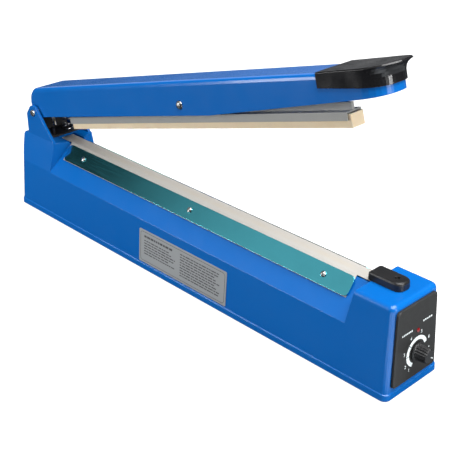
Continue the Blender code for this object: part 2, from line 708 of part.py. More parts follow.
# ---------------------------------------------------------------- control panel
def panel_outline(shrink):
    """The panel's outline on its wall, narrower at its upper edge."""
    a, b = 0.5 * PANEL_WIDTH, 0.5 * PANEL_HEIGHT
    outline = rounded_rectangle(-a + shrink, a - shrink, -b + shrink, b - shrink, PANEL_RADIUS)
    return [(u * (1 - PANEL_TAPER / a * (v + b) / PANEL_HEIGHT), v) for u, v in outline]


def make_panel(panel_black, lamp_red, board_green):
    """Front plate, lamp and the timer's circuit board."""
    low, high = FIT_GAP, FIT_GAP + PANEL_THICKNESS
    rings = []
    for w, shrink in ((low, 0), (high - 0.0006, 0), (high, 0.0006)):
        rings.append([(u, v, w) for u, v in panel_outline(shrink)])
    plate = loft("control_panel", rings, panel_black, PANEL)
    knob_at = (-PANEL_OFFSET, KNOB_ABOVE_PANEL_CENTRE, 0)
    lamp_at = (-PANEL_OFFSET, LAMP_ABOVE_PANEL_CENTRE, 0)
    cut(plate, rod("plate_bush_bore", BUSH_RADIUS + FIT_GAP, -0.01, 0.01, "z", knob_at, 20, parent=PANEL))
    cut(plate, rod("plate_lamp_bore", LAMP_RADIUS + FIT_GAP, -0.01, 0.01, "z", lamp_at, 16, parent=PANEL))
    back = -CASING_WALL - 0.0076
    lamp = [(0, back), (LAMP_RADIUS, back), (LAMP_RADIUS, high + 0.0003),
            (0.6 * LAMP_RADIUS, high + 0.0011), (0, high + 0.0014)]
    turned("indicator_lamp", lamp, 16, lamp_red, PANEL, Matrix.Translation(lamp_at))
    behind, height, half = 0.022, 0.015, 0.5 * BOARD_WIDTH
    front = PANEL_FOOT.x - behind
    box("timer_board", (front - BOARD_LENGTH, -half, height), (front, half, height + BOARD_THICKNESS),
        board_green)


def make_timer(steel, brass, knob_black):
    """The timer's case behind the wall with its threaded bush, and the nut, shaft and knob before it."""
    high = FIT_GAP + PANEL_THICKNESS
    frame = Matrix.Translation((-PANEL_OFFSET, KNOB_ABOVE_PANEL_CENTRE, 0))
    back = -CASING_WALL - 0.0016
    nut_low = high + FIT_GAP
    bush_top = high + FIT_GAP + BUSH_RISE
    bore = SHAFT_RADIUS + RUNNING_GAP
    case = [(bore, back - POT_DEPTH), (POT_RADIUS, back - POT_DEPTH), (POT_RADIUS, back),
            (BUSH_RADIUS, back), (BUSH_RADIUS, bush_top), (bore, bush_top)]
    ring_turned("timer_potentiometer", case, 24, steel, PANEL, frame)
    hex_nut("potentiometer_nut", BUSH_RADIUS + FIT_GAP, NUT_CORNER, nut_low, nut_low + NUT_HEIGHT, steel,
            PANEL, frame)
    seat = bush_top + FIT_GAP
    shaft_back = back - POT_DEPTH + 0.001
    shaft = [(0, shaft_back), (SHAFT_RADIUS, shaft_back), (SHAFT_RADIUS, seat + 0.0084), (0, seat + 0.0084)]
    turned("timer_shaft", shaft, 20, brass, KNOB)
    make_knob(knob_black, seat)


def ring_turned(name, profile, steps, finish, parent, frame):
    """A turned piece with a through bore: its closed profile runs round the section."""
    count = len(profile)
    points = []
    for i in range(steps):
        turn = 2 * math.pi * i / steps
        points += [frame @ Vector((r * math.cos(turn), r * math.sin(turn), z)) for r, z in profile]
    faces = []
    for i in range(steps):
        j = (i + 1) % steps
        for k in range(count):
            m = (k + 1) % count
            faces.append((i * count + k, j * count + k, j * count + m, i * count + m))
    made = solid(name, points, faces, finish, parent)
    made.data.shade_smooth()
    made.data.set_sharp_from_angle(angle=math.radians(35))
    return made


def hex_nut(name, bore, corner, low, high, finish, parent, frame):
    """A hexagonal nut about the frame's Z, with corner the radius to its corners."""
    steps = [math.radians(60 * k) for k in range(6)]
    rings = []
    for height, share in ((low, 0.94), (low + 0.0004, 1.0), (high - 0.0004, 1.0), (high, 0.94)):
        reach = share * corner
        rings.append([frame @ Vector((reach * math.cos(t), reach * math.sin(t), height)) for t in steps])
    nut = loft(name, rings, finish, parent)
    profile = [(0, low - 0.01), (bore, low - 0.01), (bore, high + 0.01), (0, high + 0.01)]
    cut(nut, turned(name + "_bore", profile, 20, None, parent, frame))
    return nut


def make_knob(knob_black, seat):
    """The fluted knob, hollow underneath for the nut and bored for the shaft."""
    rings = []
    steps = KNOB_FLUTES * 4
    base = FIT_GAP + PANEL_THICKNESS + 0.0006
    bands = ((base, 1.00, 0.0), (base + 0.0016, 1.00, 0.0), (base + 0.0022, 0.90, 1.0),
             (base + KNOB_HEIGHT - 0.0022, 0.80, 1.0), (base + KNOB_HEIGHT - 0.0006, 0.75, 0.6),
             (base + KNOB_HEIGHT, 0.66, 0.0))
    for height, share, flute in bands:
        ring = []
        for i in range(steps):
            turn = 2 * math.pi * i / steps
            depth = FLUTE_DEPTH * flute * 0.5 * (1 - math.cos(KNOB_FLUTES * turn))
            radius = KNOB_RADIUS * share - depth
            ring.append((radius * math.cos(turn), radius * math.sin(turn), height))
        rings.append(ring)
    knob = loft("timer_knob", rings, knob_black, KNOB)
    deep = seat + 0.0088
    cut(knob, rod("knob_bore", SHAFT_RADIUS + FIT_GAP, base - 0.01, deep, "z", parent=KNOB, steps=20))
    cut(knob, rod("knob_recess", NUT_CORNER + FIT_GAP, base - 0.01, seat, "z", parent=KNOB, steps=20))
    knob.data.shade_smooth()
    knob.data.set_sharp_from_angle(angle=math.radians(40))


# ---------------------------------------------------------------- inside
def make_transformer(laminations, winding, floor):
    """A shell core with its winding in the window, stood on the bottom plate."""
    low = floor + FIT_GAP
    x0, x1 = CORE_CENTRE_X - 0.5 * CORE_LENGTH, CORE_CENTRE_X + 0.5 * CORE_LENGTH
    half = 0.5 * CORE_WIDTH
    core = box("transformer_core", (x0, -half, low), (x1, half, low + CORE_HEIGHT), laminations)
    limb = CORE_LENGTH / 6
    window_low, window_high = low + limb, low + CORE_HEIGHT - limb
    for i, (a, b) in enumerate(((x0 + limb, x0 + 2 * limb), (x1 - 2 * limb, x1 - limb))):
        window = box("core_window_%d" % i, (a, -half - 0.01, window_low), (b, half + 0.01, window_high))
        cut(core, window)
    gap = FIT_GAP
    outer = box("transformer_winding", (x0 + limb + gap, -half - WINDING_BULGE, window_low + gap),
                (x1 - limb - gap, half + WINDING_BULGE, window_high - gap), winding)
    cut(outer, box("winding_window", (x0 + 2 * limb - gap, -half - gap, window_low - 0.01),
                   (x1 - 2 * limb + gap, half + gap, window_high + 0.01)))


def make_switch(switch_black, wall_top):
    """The switch under the rear block's top, and the plunger that the arm presses."""
    x = HINGE_X + SWITCH_FROM_HINGE
    top = wall_top - 0.0018
    half = 0.5 * SWITCH_WIDTH
    case = box("micro_switch", (x + SWITCH_NOSE - SWITCH_LENGTH, SWITCH_Y - half, top - SWITCH_HEIGHT),
               (x + SWITCH_NOSE, SWITCH_Y + half, top), switch_black)
    foot = top - PLUNGER_TRAVEL - 0.0012
    well = rod("switch_well", PLUNGER_RADIUS + FIT_GAP, foot - 0.0002, top + 0.01, "z", (x, SWITCH_Y, 0), 16)
    cut(case, well)
    base = foot + PLUNGER_TRAVEL + 0.0004
    length = BLOCK_HEIGHT + PLUNGER_RISE - base
    profile = [(0, 0), (PLUNGER_RADIUS, 0), (PLUNGER_RADIUS, length - 0.0006),
               (0.7 * PLUNGER_RADIUS, length), (0, length)]
    made = turned("switch_plunger", profile, 16, switch_black)
    made.matrix_world = Matrix.Translation((x, SWITCH_Y, base))
    return base + length


def make_arm_stop(rubber):
    """The rubber stop behind the pin, which the arm's tail meets, and the mat before it."""
    opened = math.radians(ARM_OPEN_ANGLE)
    tail = HINGE_HEIGHT - ARM_TAIL * math.sin(opened) - ARM_BOTTOM * math.cos(opened)
    low, half = BLOCK_HEIGHT + FIT_GAP, EAR_INNER - STOP_SIDE_GAP
    back, front = HINGE_X - STOP_BACK, HINGE_X - STOP_FRONT
    outline = rounded_rectangle(back, front, low, tail - STOP_CLEARANCE, 0.0012, 3)
    prism("arm_stop", outline, -half, half, "y", rubber)
    mat = box("stop_mat", (front + FIT_GAP, -half, low), (slot_end() - MAT_FRONT_GAP, half, MAT_TOP), rubber)
    place = (HINGE_X + SWITCH_FROM_HINGE, SWITCH_Y, low)
    cut(mat, rod("mat_bore", PLUNGER_RADIUS + 3 * FIT_GAP, -0.01, 0.01, "z", place, 16))


def make_gland(plastic):
    """A snap-in bush in the rear wall."""
    wall = -half_length(GLAND_HEIGHT)
    reach = GLAND_RADIUS + GLAND_FLANGE
    inside = -CASING_WALL - 0.0030
    profile = [(GLAND_BORE, 0.0042), (GLAND_BORE + 0.0015, 0.0042), (reach, 0.0022), (reach, FIT_GAP),
               (GLAND_RADIUS, FIT_GAP), (GLAND_RADIUS, inside), (GLAND_BORE, inside)]
    turn = Matrix.Rotation(DRAFT_ANGLE - math.pi / 2, 4, "Y")
    frame = Matrix.Translation((wall, 0, GLAND_HEIGHT)) @ turn
    ring_turned("cord_gland", profile, 24, plastic, None, frame)


def make_label(label):
    """The rating plate on the near wall."""
    drop = math.atan2(SIDE_DRAFT, BLOCK_HEIGHT)
    place = Vector((LABEL_CENTRE_X, -half_width(LABEL_BOTTOM), LABEL_BOTTOM))
    up = Vector((0, math.sin(drop), math.cos(drop)))
    out = Vector((0, -math.cos(drop), math.sin(drop)))
    outline = rounded_rectangle(-0.5 * LABEL_LENGTH, 0.5 * LABEL_LENGTH, 0, LABEL_HEIGHT, 0.0015, 3)
    rings = []
    for w in (0.0001, 0.0001 + LABEL_THICKNESS):
        rings.append([place + Vector((u, 0, 0)) + up * v + out * w for u, v in outline])
    loft("rating_plate", rings, label)


# ---------------------------------------------------------------- arm
def arm_bottom(u):
    if u < ARM_TAPER_START:
        return -ARM_BOTTOM
    share = (u - ARM_TAPER_START) / (ARM_REACH - ARM_TAPER_START)
    return -ARM_BOTTOM + (ARM_BOTTOM + ARM_NOSE_BOTTOM) * share


def nose_half(u, inset=0.0):
    """Half the arm's width at u, rounding off over the nose."""
    start, length = NOSE_START, NOSE_LENGTH - inset
    if u <= start:
        return ARM_HALF - inset
    share = min((u - start) / length, 0.9999)
    return (ARM_HALF - inset) * (1 - share**NOSE_POWER) ** (1 / NOSE_POWER)


def arm_stations(inset):
    """Places along the arm where its section is drawn."""
    tail = -ARM_TAIL + inset
    radius = ARM_TAIL_RADIUS - inset
    steps = 6
    places = [tail + radius * (1 - math.cos(math.radians(90 * k / steps))) for k in range(steps + 1)]
    places += [ARM_TAPER_START, NOSE_START]
    length = NOSE_LENGTH - inset
    for turn in (14, 28, 42, 54, 64, 72, 79, 84, 88):
        places.append(NOSE_START + length * math.sin(math.radians(turn)))
    return places


def arm_section(u, inset, foot):
    """Filled section of the arm at u: flat top with round edges, straight sides."""
    tail = -ARM_TAIL + inset
    radius = ARM_TAIL_RADIUS - inset
    top = ARM_TOP - inset
    if u < tail + radius:
        top += math.sqrt(max(radius**2 - (radius - (u - tail)) ** 2, 0)) - radius
    half = nose_half(u, inset)
    edge = min(max(ARM_EDGE_RADIUS - inset, 0.0008), 0.8 * half)
    low = foot if foot is not None else arm_bottom(u)
    points = [(half, low)]
    for k in range(4):
        turn = math.radians(30 * k)
        points.append((half - edge + edge * math.cos(turn), top - edge + edge * math.sin(turn)))
    points += [(-y, z) for y, z in reversed(points)]
    return [(u, y, z) for y, z in points]


def make_arm(paint):
    """The pressed arm, an upside-down channel closed at the tail and round at the nose."""
    arm = loft("arm_channel", [arm_section(u, 0, None) for u in arm_stations(0)], paint, ARM)
    inner = [arm_section(u, ARM_WALL, -0.05) for u in arm_stations(ARM_WALL)]
    cut(arm, loft("arm_hollow", inner, None, ARM))
    reach = ARM_HALF + 0.01
    cut(arm, rod("arm_pin_bore", PIN_RADIUS + RUNNING_GAP, -reach, reach, "y", parent=ARM))
    bolt = (BAR_BOLT_FROM_HINGE, 0, BAR_BOLT_ABOVE_HINGE)
    cut(arm, rod("arm_bolt_bore", BOLT_RADIUS + RUNNING_GAP, -reach, reach, "y", bolt, parent=ARM))
    return arm


def nose_outline(offset, lip=0.0, start=None):
    """Plan of the arm's nose grown by offset, with lip added towards the tip."""
    start = CAP_START if start is None else start
    half = ARM_HALF + offset
    length = NOSE_LENGTH + offset
    steps = 24
    power = 2 / NOSE_POWER
    points = [(start, -half)]
    for k in range(steps + 1):
        turn = math.radians(-90 + 180 * k / steps)
        share = abs(math.cos(turn)) ** power
        across = math.copysign(abs(math.sin(turn)) ** power, turn)
        points.append((NOSE_START + (length + lip) * share, (half + 0.16 * lip * share) * across))
    points.append((start, half))
    return points


def make_cap(plastic, screw_steel):
    """The black grip over the nose, with a thumb lip that flares at its front."""
    gap = FIT_GAP
    wall = gap + CAP_WALL

    def skirt(u):
        share = (u - CAP_START) / CAP_LENGTH
        return CAP_SKIRT_REAR + (CAP_SKIRT_FRONT - CAP_SKIRT_REAR) * share

    def crown(u):
        share = (u - CAP_START) / CAP_LENGTH
        rise = max(0.0, (u - NOSE_START) / (NOSE_LENGTH + CAP_LIP)) ** 2
        return CAP_TOP_REAR + (CAP_TOP_FRONT - CAP_TOP_REAR) * share + CAP_LIP_RISE * rise

    rings = [[(u, y, skirt(u)) for u, y in nose_outline(wall)]]
    for share, lip in ((0.42, 0.0), (0.62, 0.12), (0.76, 0.34), (0.86, 0.66), (0.93, 1.0)):
        ring = []
        for u, y in nose_outline(wall, CAP_LIP * lip):
            low = skirt(min(u, ARM_REACH))
            ring.append((u, y, low + (crown(u) - low) * share))
        rings.append(ring)
    top_outline = nose_outline(wall - 0.0007, CAP_LIP * 0.98, CAP_START + 0.0006)
    rings.append([(u, y, crown(u)) for u, y in top_outline])
    cap = loft("handle_cap", rings, plastic, ARM)
    inner = nose_outline(gap, 0.0, CAP_START - 0.02)
    inner_low = [(u, y, 0.0) for u, y in inner]
    inner_high = [(u, y, ARM_TOP + gap) for u, y in inner]
    cut(cap, loft("cap_hollow", [inner_low, inner_high], None, ARM))
    for i, x in enumerate((CAP_START + 0.016, CAP_START + 0.042)):
        make_cap_screw(i + 1, (x, 0, 0), cap, screw_steel)


def make_cap_screw(number, place, cap, screw_steel):
    """A screw from inside the arm up into the cap."""
    low = ARM_TOP - ARM_WALL
    radius = CAP_SCREW_RADIUS
    wide = radius + FIT_GAP
    bore = rod("cap_bore_%d" % number, wide, low - 0.01, ARM_TOP + 0.005, "z", place, 12, parent=ARM)
    cut(bpy.data.objects["arm_channel"], bore)
    cut(cap, rod("cap_pocket_%d" % number, wide, low, ARM_TOP + 0.0009, "z", place, 12, parent=ARM))
    profile = [(0, low - 0.0019), (1.5 * radius, low - 0.0017), (2.2 * radius, low - FIT_GAP),
               (radius, low - FIT_GAP), (radius, ARM_TOP + FIT_GAP), (0, ARM_TOP + 0.0005)]
    turned("cap_screw_%d" % number, profile, 12, screw_steel, ARM, Matrix.Translation(place))


def make_hinge(steel, clip_steel):
    """The pin through both ears and the arm, headed at the near side and clipped at the far side."""
    near = EAR_OUTER + FIT_GAP
    groove = EAR_OUTER + 0.0012
    waist = PIN_RADIUS - 0.0006
    head = PIN_RADIUS + 0.0015
    profile = [(0, -near - 0.0016), (head - 0.0004, -near - 0.0012), (head, -near), (PIN_RADIUS, -near),
               (PIN_RADIUS, groove - 0.0004), (waist, groove - 0.0004), (waist, groove + 0.0012),
               (PIN_RADIUS, groove + 0.0012), (PIN_RADIUS, groove + 0.0024), (0, groove + 0.0026)]
    frame = Matrix.Translation((HINGE_X, 0, HINGE_HEIGHT)) @ Matrix.Rotation(-math.pi / 2, 4, "X")
    turned("hinge_pin", profile, 20, steel, frame=frame)
    bore = PIN_RADIUS + RUNNING_GAP
    for side, word in ((-1, "near"), (1, "far")):
        low, high = sorted((side * (ARM_HALF + FIT_GAP), side * (ARM_HALF + FIT_GAP + WASHER_THICKNESS)))
        section = [(bore, low), (WASHER_RADIUS, low), (WASHER_RADIUS, high), (bore, high)]
        ring_turned("hinge_washer_" + word, section, 24, clip_steel, None, frame)
    inner = waist + RUNNING_GAP
    outer = PIN_RADIUS + 0.0019
    clip = [(inner, groove), (outer, groove), (outer, groove + 0.0008), (inner, groove + 0.0008)]
    ring = ring_turned("hinge_clip", clip, 24, clip_steel, None, frame)
    mouth = box("clip_mouth", (HINGE_X - 0.0011, groove - 0.002, HINGE_HEIGHT - 0.008),
                (HINGE_X + 0.0011, groove + 0.003, HINGE_HEIGHT))
    cut(ring, mouth)


def make_return_spring(spring_steel):
    """A compression spring between the mat on the rear block and the arm's web."""
    x = HINGE_X + SPRING_FROM_HINGE
    y = ARM_HALF - ARM_WALL - SPRING_SIDE_GAP - SPRING_WIRE - SPRING_RADIUS
    low = MAT_TOP + SPRING_WIRE + FIT_GAP
    opened = math.radians(ARM_OPEN_ANGLE)
    behind = SPRING_FROM_HINGE - SPRING_RADIUS - SPRING_WIRE
    web = HINGE_HEIGHT + (ARM_TOP - ARM_WALL) / math.cos(opened) + behind * math.tan(opened)
    high = web - SPRING_WIRE - FIT_GAP
    steps = 12
    count = SPRING_TURNS * steps
    closed_pitch = 2.2 * SPRING_WIRE
    path = []
    for i in range(count + 1):
        turn = 2 * math.pi * i / steps
        share = min(max((i - steps) / (count - 2 * steps), 0.0), 1.0)
        rise = low + (high - low - 2 * closed_pitch) * share
        rise += closed_pitch * (min(i, steps) + max(i - count + steps, 0)) / steps
        path.append((x + SPRING_RADIUS * math.cos(turn), y + SPRING_RADIUS * math.sin(turn), rise))
    swept("return_spring", path, SPRING_WIRE, 8, spring_steel)


# ---------------------------------------------------------------- pressure bar
def make_bar(aluminium, silicone, steel, screw_steel):
    """The extrusion with its silicone strip, the hanger on its back and the bolt that it rocks on."""
    x0, x1 = BAR_START - BAR_BOLT_FROM_HINGE, BAR_END - BAR_BOLT_FROM_HINGE
    a, b, c = 0.5 * CHANNEL_WIDTH, 0.5 * WEB_WIDTH, 0.5 * CHANNEL_WIDTH - CHANNEL_WALL
    low, top = CHANNEL_BOTTOM, CHANNEL_TOP
    half = [(c, low), (a, low), (a, top), (b, top), (b, top + WEB_HEIGHT)]
    inner = [(c, top - CHANNEL_WALL)]
    outline = half + [(-y, z) for y, z in reversed(half)] + [(-y, z) for y, z in inner] + inner
    prism("pressure_bar", outline, x0, x1, "x", aluminium, BAR)
    side = c - STRIP_SIDE_GAP
    box("silicone_strip", (x0 + 0.0005, -side, -BAR_FOOT),
        (x1 + STRIP_OVERHANG, side, top - CHANNEL_WALL - FIT_GAP), silicone, BAR)
    foot = top + WEB_HEIGHT - HANGER_GRIP
    shoulder = foot + HANGER_GRIP + 0.0004
    hanger_half = 0.5 * HANGER_LENGTH
    outline = [(-hanger_half, foot), (hanger_half, foot), (hanger_half, shoulder)]
    for k in range(9):
        turn = math.radians(20 + 140 * k / 8)
        outline.append((HANGER_CROWN * math.cos(turn), HANGER_CROWN * math.sin(turn)))
    outline.append((-hanger_half, shoulder))
    hanger = prism("bar_hanger", outline, -0.5 * HANGER_WIDTH, 0.5 * HANGER_WIDTH, "y", steel, BAR)
    slot = b + FIT_GAP
    slot_top = top + WEB_HEIGHT + FIT_GAP
    cut(hanger, box("hanger_slot", (-0.05, -slot, foot - 0.01), (0.05, slot, slot_top), None, BAR))
    cut(hanger, rod("hanger_bore", BOLT_RADIUS + RUNNING_GAP, -0.02, 0.02, "y", parent=BAR))
    make_bolt(screw_steel)


def make_bolt(screw_steel):
    """The pivot bolt across the arm, with its nut at the far side."""
    near = ARM_HALF + FIT_GAP
    place = Matrix.Translation((BAR_BOLT_FROM_HINGE, 0, BAR_BOLT_ABOVE_HINGE))
    place = place @ Matrix.Rotation(-math.pi / 2, 4, "X")
    head = BOLT_HEAD_RADIUS
    profile = [(0, -near - 0.0019), (0.6 * head, -near - 0.0016), (0.95 * head, -near - 0.0004),
               (head, -near), (BOLT_RADIUS, -near), (BOLT_RADIUS, near + 0.0038), (0, near + 0.0040)]
    turned("bar_pivot_bolt", profile, 20, screw_steel, ARM, place)
    bore = BOLT_RADIUS + RUNNING_GAP
    hex_nut("bar_pivot_nut", bore, 2 * BOLT_RADIUS, near, near + 0.0030, screw_steel, ARM, place)


def make_striker(screw_steel, plunger_top):
    """The adjusting screw inside the arm that meets the plunger when the arm comes down."""
    closed = math.radians(CLOSED_ANGLE)
    drop = plunger_top - PLUNGER_TRAVEL + FIT_GAP - HINGE_HEIGHT
    reach = SWITCH_FROM_HINGE * math.cos(closed) - drop * math.sin(closed)
    tip = SWITCH_FROM_HINGE * math.sin(closed) + drop * math.cos(closed)
    web = ARM_TOP - ARM_WALL - FIT_GAP
    radius, head, thickness = STRIKER_RADIUS, 1.8 * STRIKER_RADIUS, 0.0037
    profile = [(0, tip), (0.7 * radius, tip + 0.0002), (radius, tip + 0.0008),
               (radius, web - thickness), (head, web - thickness), (head, web), (0, web)]
    turned("switch_striker", profile, 16, screw_steel, ARM, Matrix.Translation((reach, SWITCH_Y, 0)))


def stand_on_origin():
    """Slides the whole machine along X, so that the origin is under the middle of its length."""
    bpy.context.view_layer.update()
    ends = []
    for name, pick in (("cord_gland", min), ("timer_knob", max)):
        piece = bpy.data.objects[name]
        ends.append(pick((piece.matrix_world @ corner.co).x for corner in piece.data.vertices))
    for piece in bpy.data.objects:
        if not piece.parent:
            piece.location.x -= 0.5 * sum(ends)


# ---------------------------------------------------------------- assembly
clear_scene()
ARM = empty("arm_pivot", (HINGE_X, 0, HINGE_HEIGHT), Matrix.Rotation(-math.radians(ARM_OPEN_ANGLE), 4, "Y"))
BAR = empty("bar_pivot")
BAR.parent = ARM
BAR.matrix_parent_inverse = Matrix.Identity(4)
BAR.matrix_basis = Matrix.Translation((BAR_BOLT_FROM_HINGE, 0, BAR_BOLT_ABOVE_HINGE)) @ Matrix.Rotation(
    -math.radians(BAR_TILT), 4, "Y")
# On the panel's frame X is world Y, Y is up the leaning wall and Z is out of it.
FACE_TURN = Matrix(((0, -math.sin(DRAFT_ANGLE), math.cos(DRAFT_ANGLE)), (1, 0, 0),
                    (0, math.cos(DRAFT_ANGLE), math.sin(DRAFT_ANGLE)))).to_4x4()
PANEL = empty("panel_face", PANEL_FOOT, FACE_TURN)
KNOB = empty("knob_axis")
KNOB.parent = PANEL
KNOB.matrix_basis = Matrix.Translation((-PANEL_OFFSET, KNOB_ABOVE_PANEL_CENTRE, 0)) @ Matrix.Rotation(
    math.radians(KNOB_POINTER_ANGLE), 4, "Z")

BLUE = finish_of("blue_gloss", (0.010, 0.105, 0.46), 0.25)
BLACK = finish_of("black_plastic", (0.020, 0.020, 0.021), 0.45)
PANEL_BLACK = finish_of("panel_black", (0.035, 0.034, 0.033), 0.40)
STEEL = finish_of("plated_steel", (0.62, 0.62, 0.60), 0.30, 1.0)
DARK_STEEL = finish_of("spring_steel", (0.18, 0.18, 0.19), 0.35, 1.0)
ALUMINIUM = finish_of("aluminium", (0.55, 0.56, 0.56), 0.35, 1.0)
CLAMP_ALLOY = finish_of("clamp_alloy", (0.45, 0.70, 0.74), 0.15, 1.0)
BRASS = finish_of("brass", (0.62, 0.47, 0.20), 0.30, 1.0)
RUBBER = finish_of("rubber", (0.025, 0.025, 0.025), 0.80)
SILICONE = finish_of("cream_silicone", (0.86, 0.74, 0.52), 0.60)
CLOTH = finish_of("ptfe_cloth", (0.78, 0.75, 0.70), 0.50)
INSULATION = finish_of("insulation", (0.72, 0.66, 0.50), 0.70)
NICHROME = finish_of("nichrome", (0.50, 0.48, 0.46), 0.40, 1.0)
LAMINATIONS = finish_of("laminations", (0.22, 0.22, 0.23), 0.50, 1.0)
WINDING = finish_of("winding", (0.70, 0.52, 0.16), 0.60)
BOARD = finish_of("circuit_board", (0.05, 0.22, 0.09), 0.45)
LAMP = finish_of("lamp_red", (0.62, 0.03, 0.02), 0.20)
PLATE = finish_of("label_plate", (0.72, 0.75, 0.76), 0.35, 0.6)

make_casing(BLUE)
floor_top = make_bottom(STEEL, RUBBER)
cloth = make_ridge(INSULATION, NICHROME, CLOTH)
make_clamps(cloth, CLAMP_ALLOY, STEEL)
make_terminals(BRASS, DARK_STEEL)
make_end_block(BLACK, STEEL)
make_panel(PANEL_BLACK, LAMP, BOARD)
make_timer(STEEL, BRASS, BLACK)
make_transformer(LAMINATIONS, WINDING, floor_top)
plunger_top = make_switch(BLACK, BLOCK_HEIGHT - CASING_WALL - FIT_GAP)
make_arm_stop(RUBBER)
make_gland(BLACK)
make_label(PLATE)
make_arm(BLUE)
make_cap(BLACK, STEEL)
make_hinge(STEEL, STEEL)
make_return_spring(DARK_STEEL)
make_bar(ALUMINIUM, SILICONE, STEEL, STEEL)
make_striker(STEEL, plunger_top)
stand_on_origin()
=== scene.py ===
# %% [markdown]
# # An impulse heat sealer
# This script dresses a finished mechanical model of a bench heat sealer: a long blue base, a sprung blue
# arm and a cloth-covered sealing ridge between them. The mechanical pieces are fixed. What is added here is
# their finish, the printing, the small marks that tools leave, and the light.

# %% Loading the machine
import json
import math
import random

import bmesh
import bpy
from mathutils import Matrix, Vector


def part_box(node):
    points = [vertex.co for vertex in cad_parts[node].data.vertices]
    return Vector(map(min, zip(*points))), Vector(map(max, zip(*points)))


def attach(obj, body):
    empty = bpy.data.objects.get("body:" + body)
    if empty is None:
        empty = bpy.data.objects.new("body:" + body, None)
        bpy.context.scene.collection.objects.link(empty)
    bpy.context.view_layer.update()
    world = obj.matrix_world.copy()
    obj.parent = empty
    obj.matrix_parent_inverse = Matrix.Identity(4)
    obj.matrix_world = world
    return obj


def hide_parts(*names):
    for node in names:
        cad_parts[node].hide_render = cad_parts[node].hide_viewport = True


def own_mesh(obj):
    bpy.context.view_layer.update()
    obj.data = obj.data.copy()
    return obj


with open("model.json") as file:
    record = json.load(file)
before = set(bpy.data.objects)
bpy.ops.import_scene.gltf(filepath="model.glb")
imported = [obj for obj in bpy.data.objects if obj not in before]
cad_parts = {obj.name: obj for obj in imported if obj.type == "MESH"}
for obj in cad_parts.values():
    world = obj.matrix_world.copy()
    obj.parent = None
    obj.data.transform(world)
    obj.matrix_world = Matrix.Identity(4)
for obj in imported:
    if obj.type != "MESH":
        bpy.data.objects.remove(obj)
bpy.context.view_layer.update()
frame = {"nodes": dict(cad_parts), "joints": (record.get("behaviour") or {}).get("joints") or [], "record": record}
nodes = frame["nodes"]

# %% [markdown]
# ## Where things are
# Every place below comes from the boxes and joints of the mechanical pieces, so that a change in the model
# moves the printing and the cloth with it.

# %% Reading places off the machine
MM = 0.001
base_low, base_high = (Vector(corner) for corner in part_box("base_housing"))
plate_low, plate_high = (Vector(corner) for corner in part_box("rating_plate"))
base_middle = 0.5 * (base_low.x + base_high.x)
joints = {joint["name"]: joint for joint in frame["joints"]}
knob_place = Vector(joints["knob_turn"]["pos_m"])
knob_axis = Vector(joints["knob_turn"]["axis"]).normalized()
print("base from", round(base_low.x, 4), "to", round(base_high.x, 4))
print("knob at", [round(v, 4) for v in knob_place])

# %% [markdown]
# ## A small kit for finishes
# A finish is a tree of shader nodes. Each one here starts from the same Principled shader, and adds fine
# variation in colour, roughness and height, all worked out from the piece's own coordinates in metres, so
# that a grain of half a millimetre is half a millimetre on every piece.


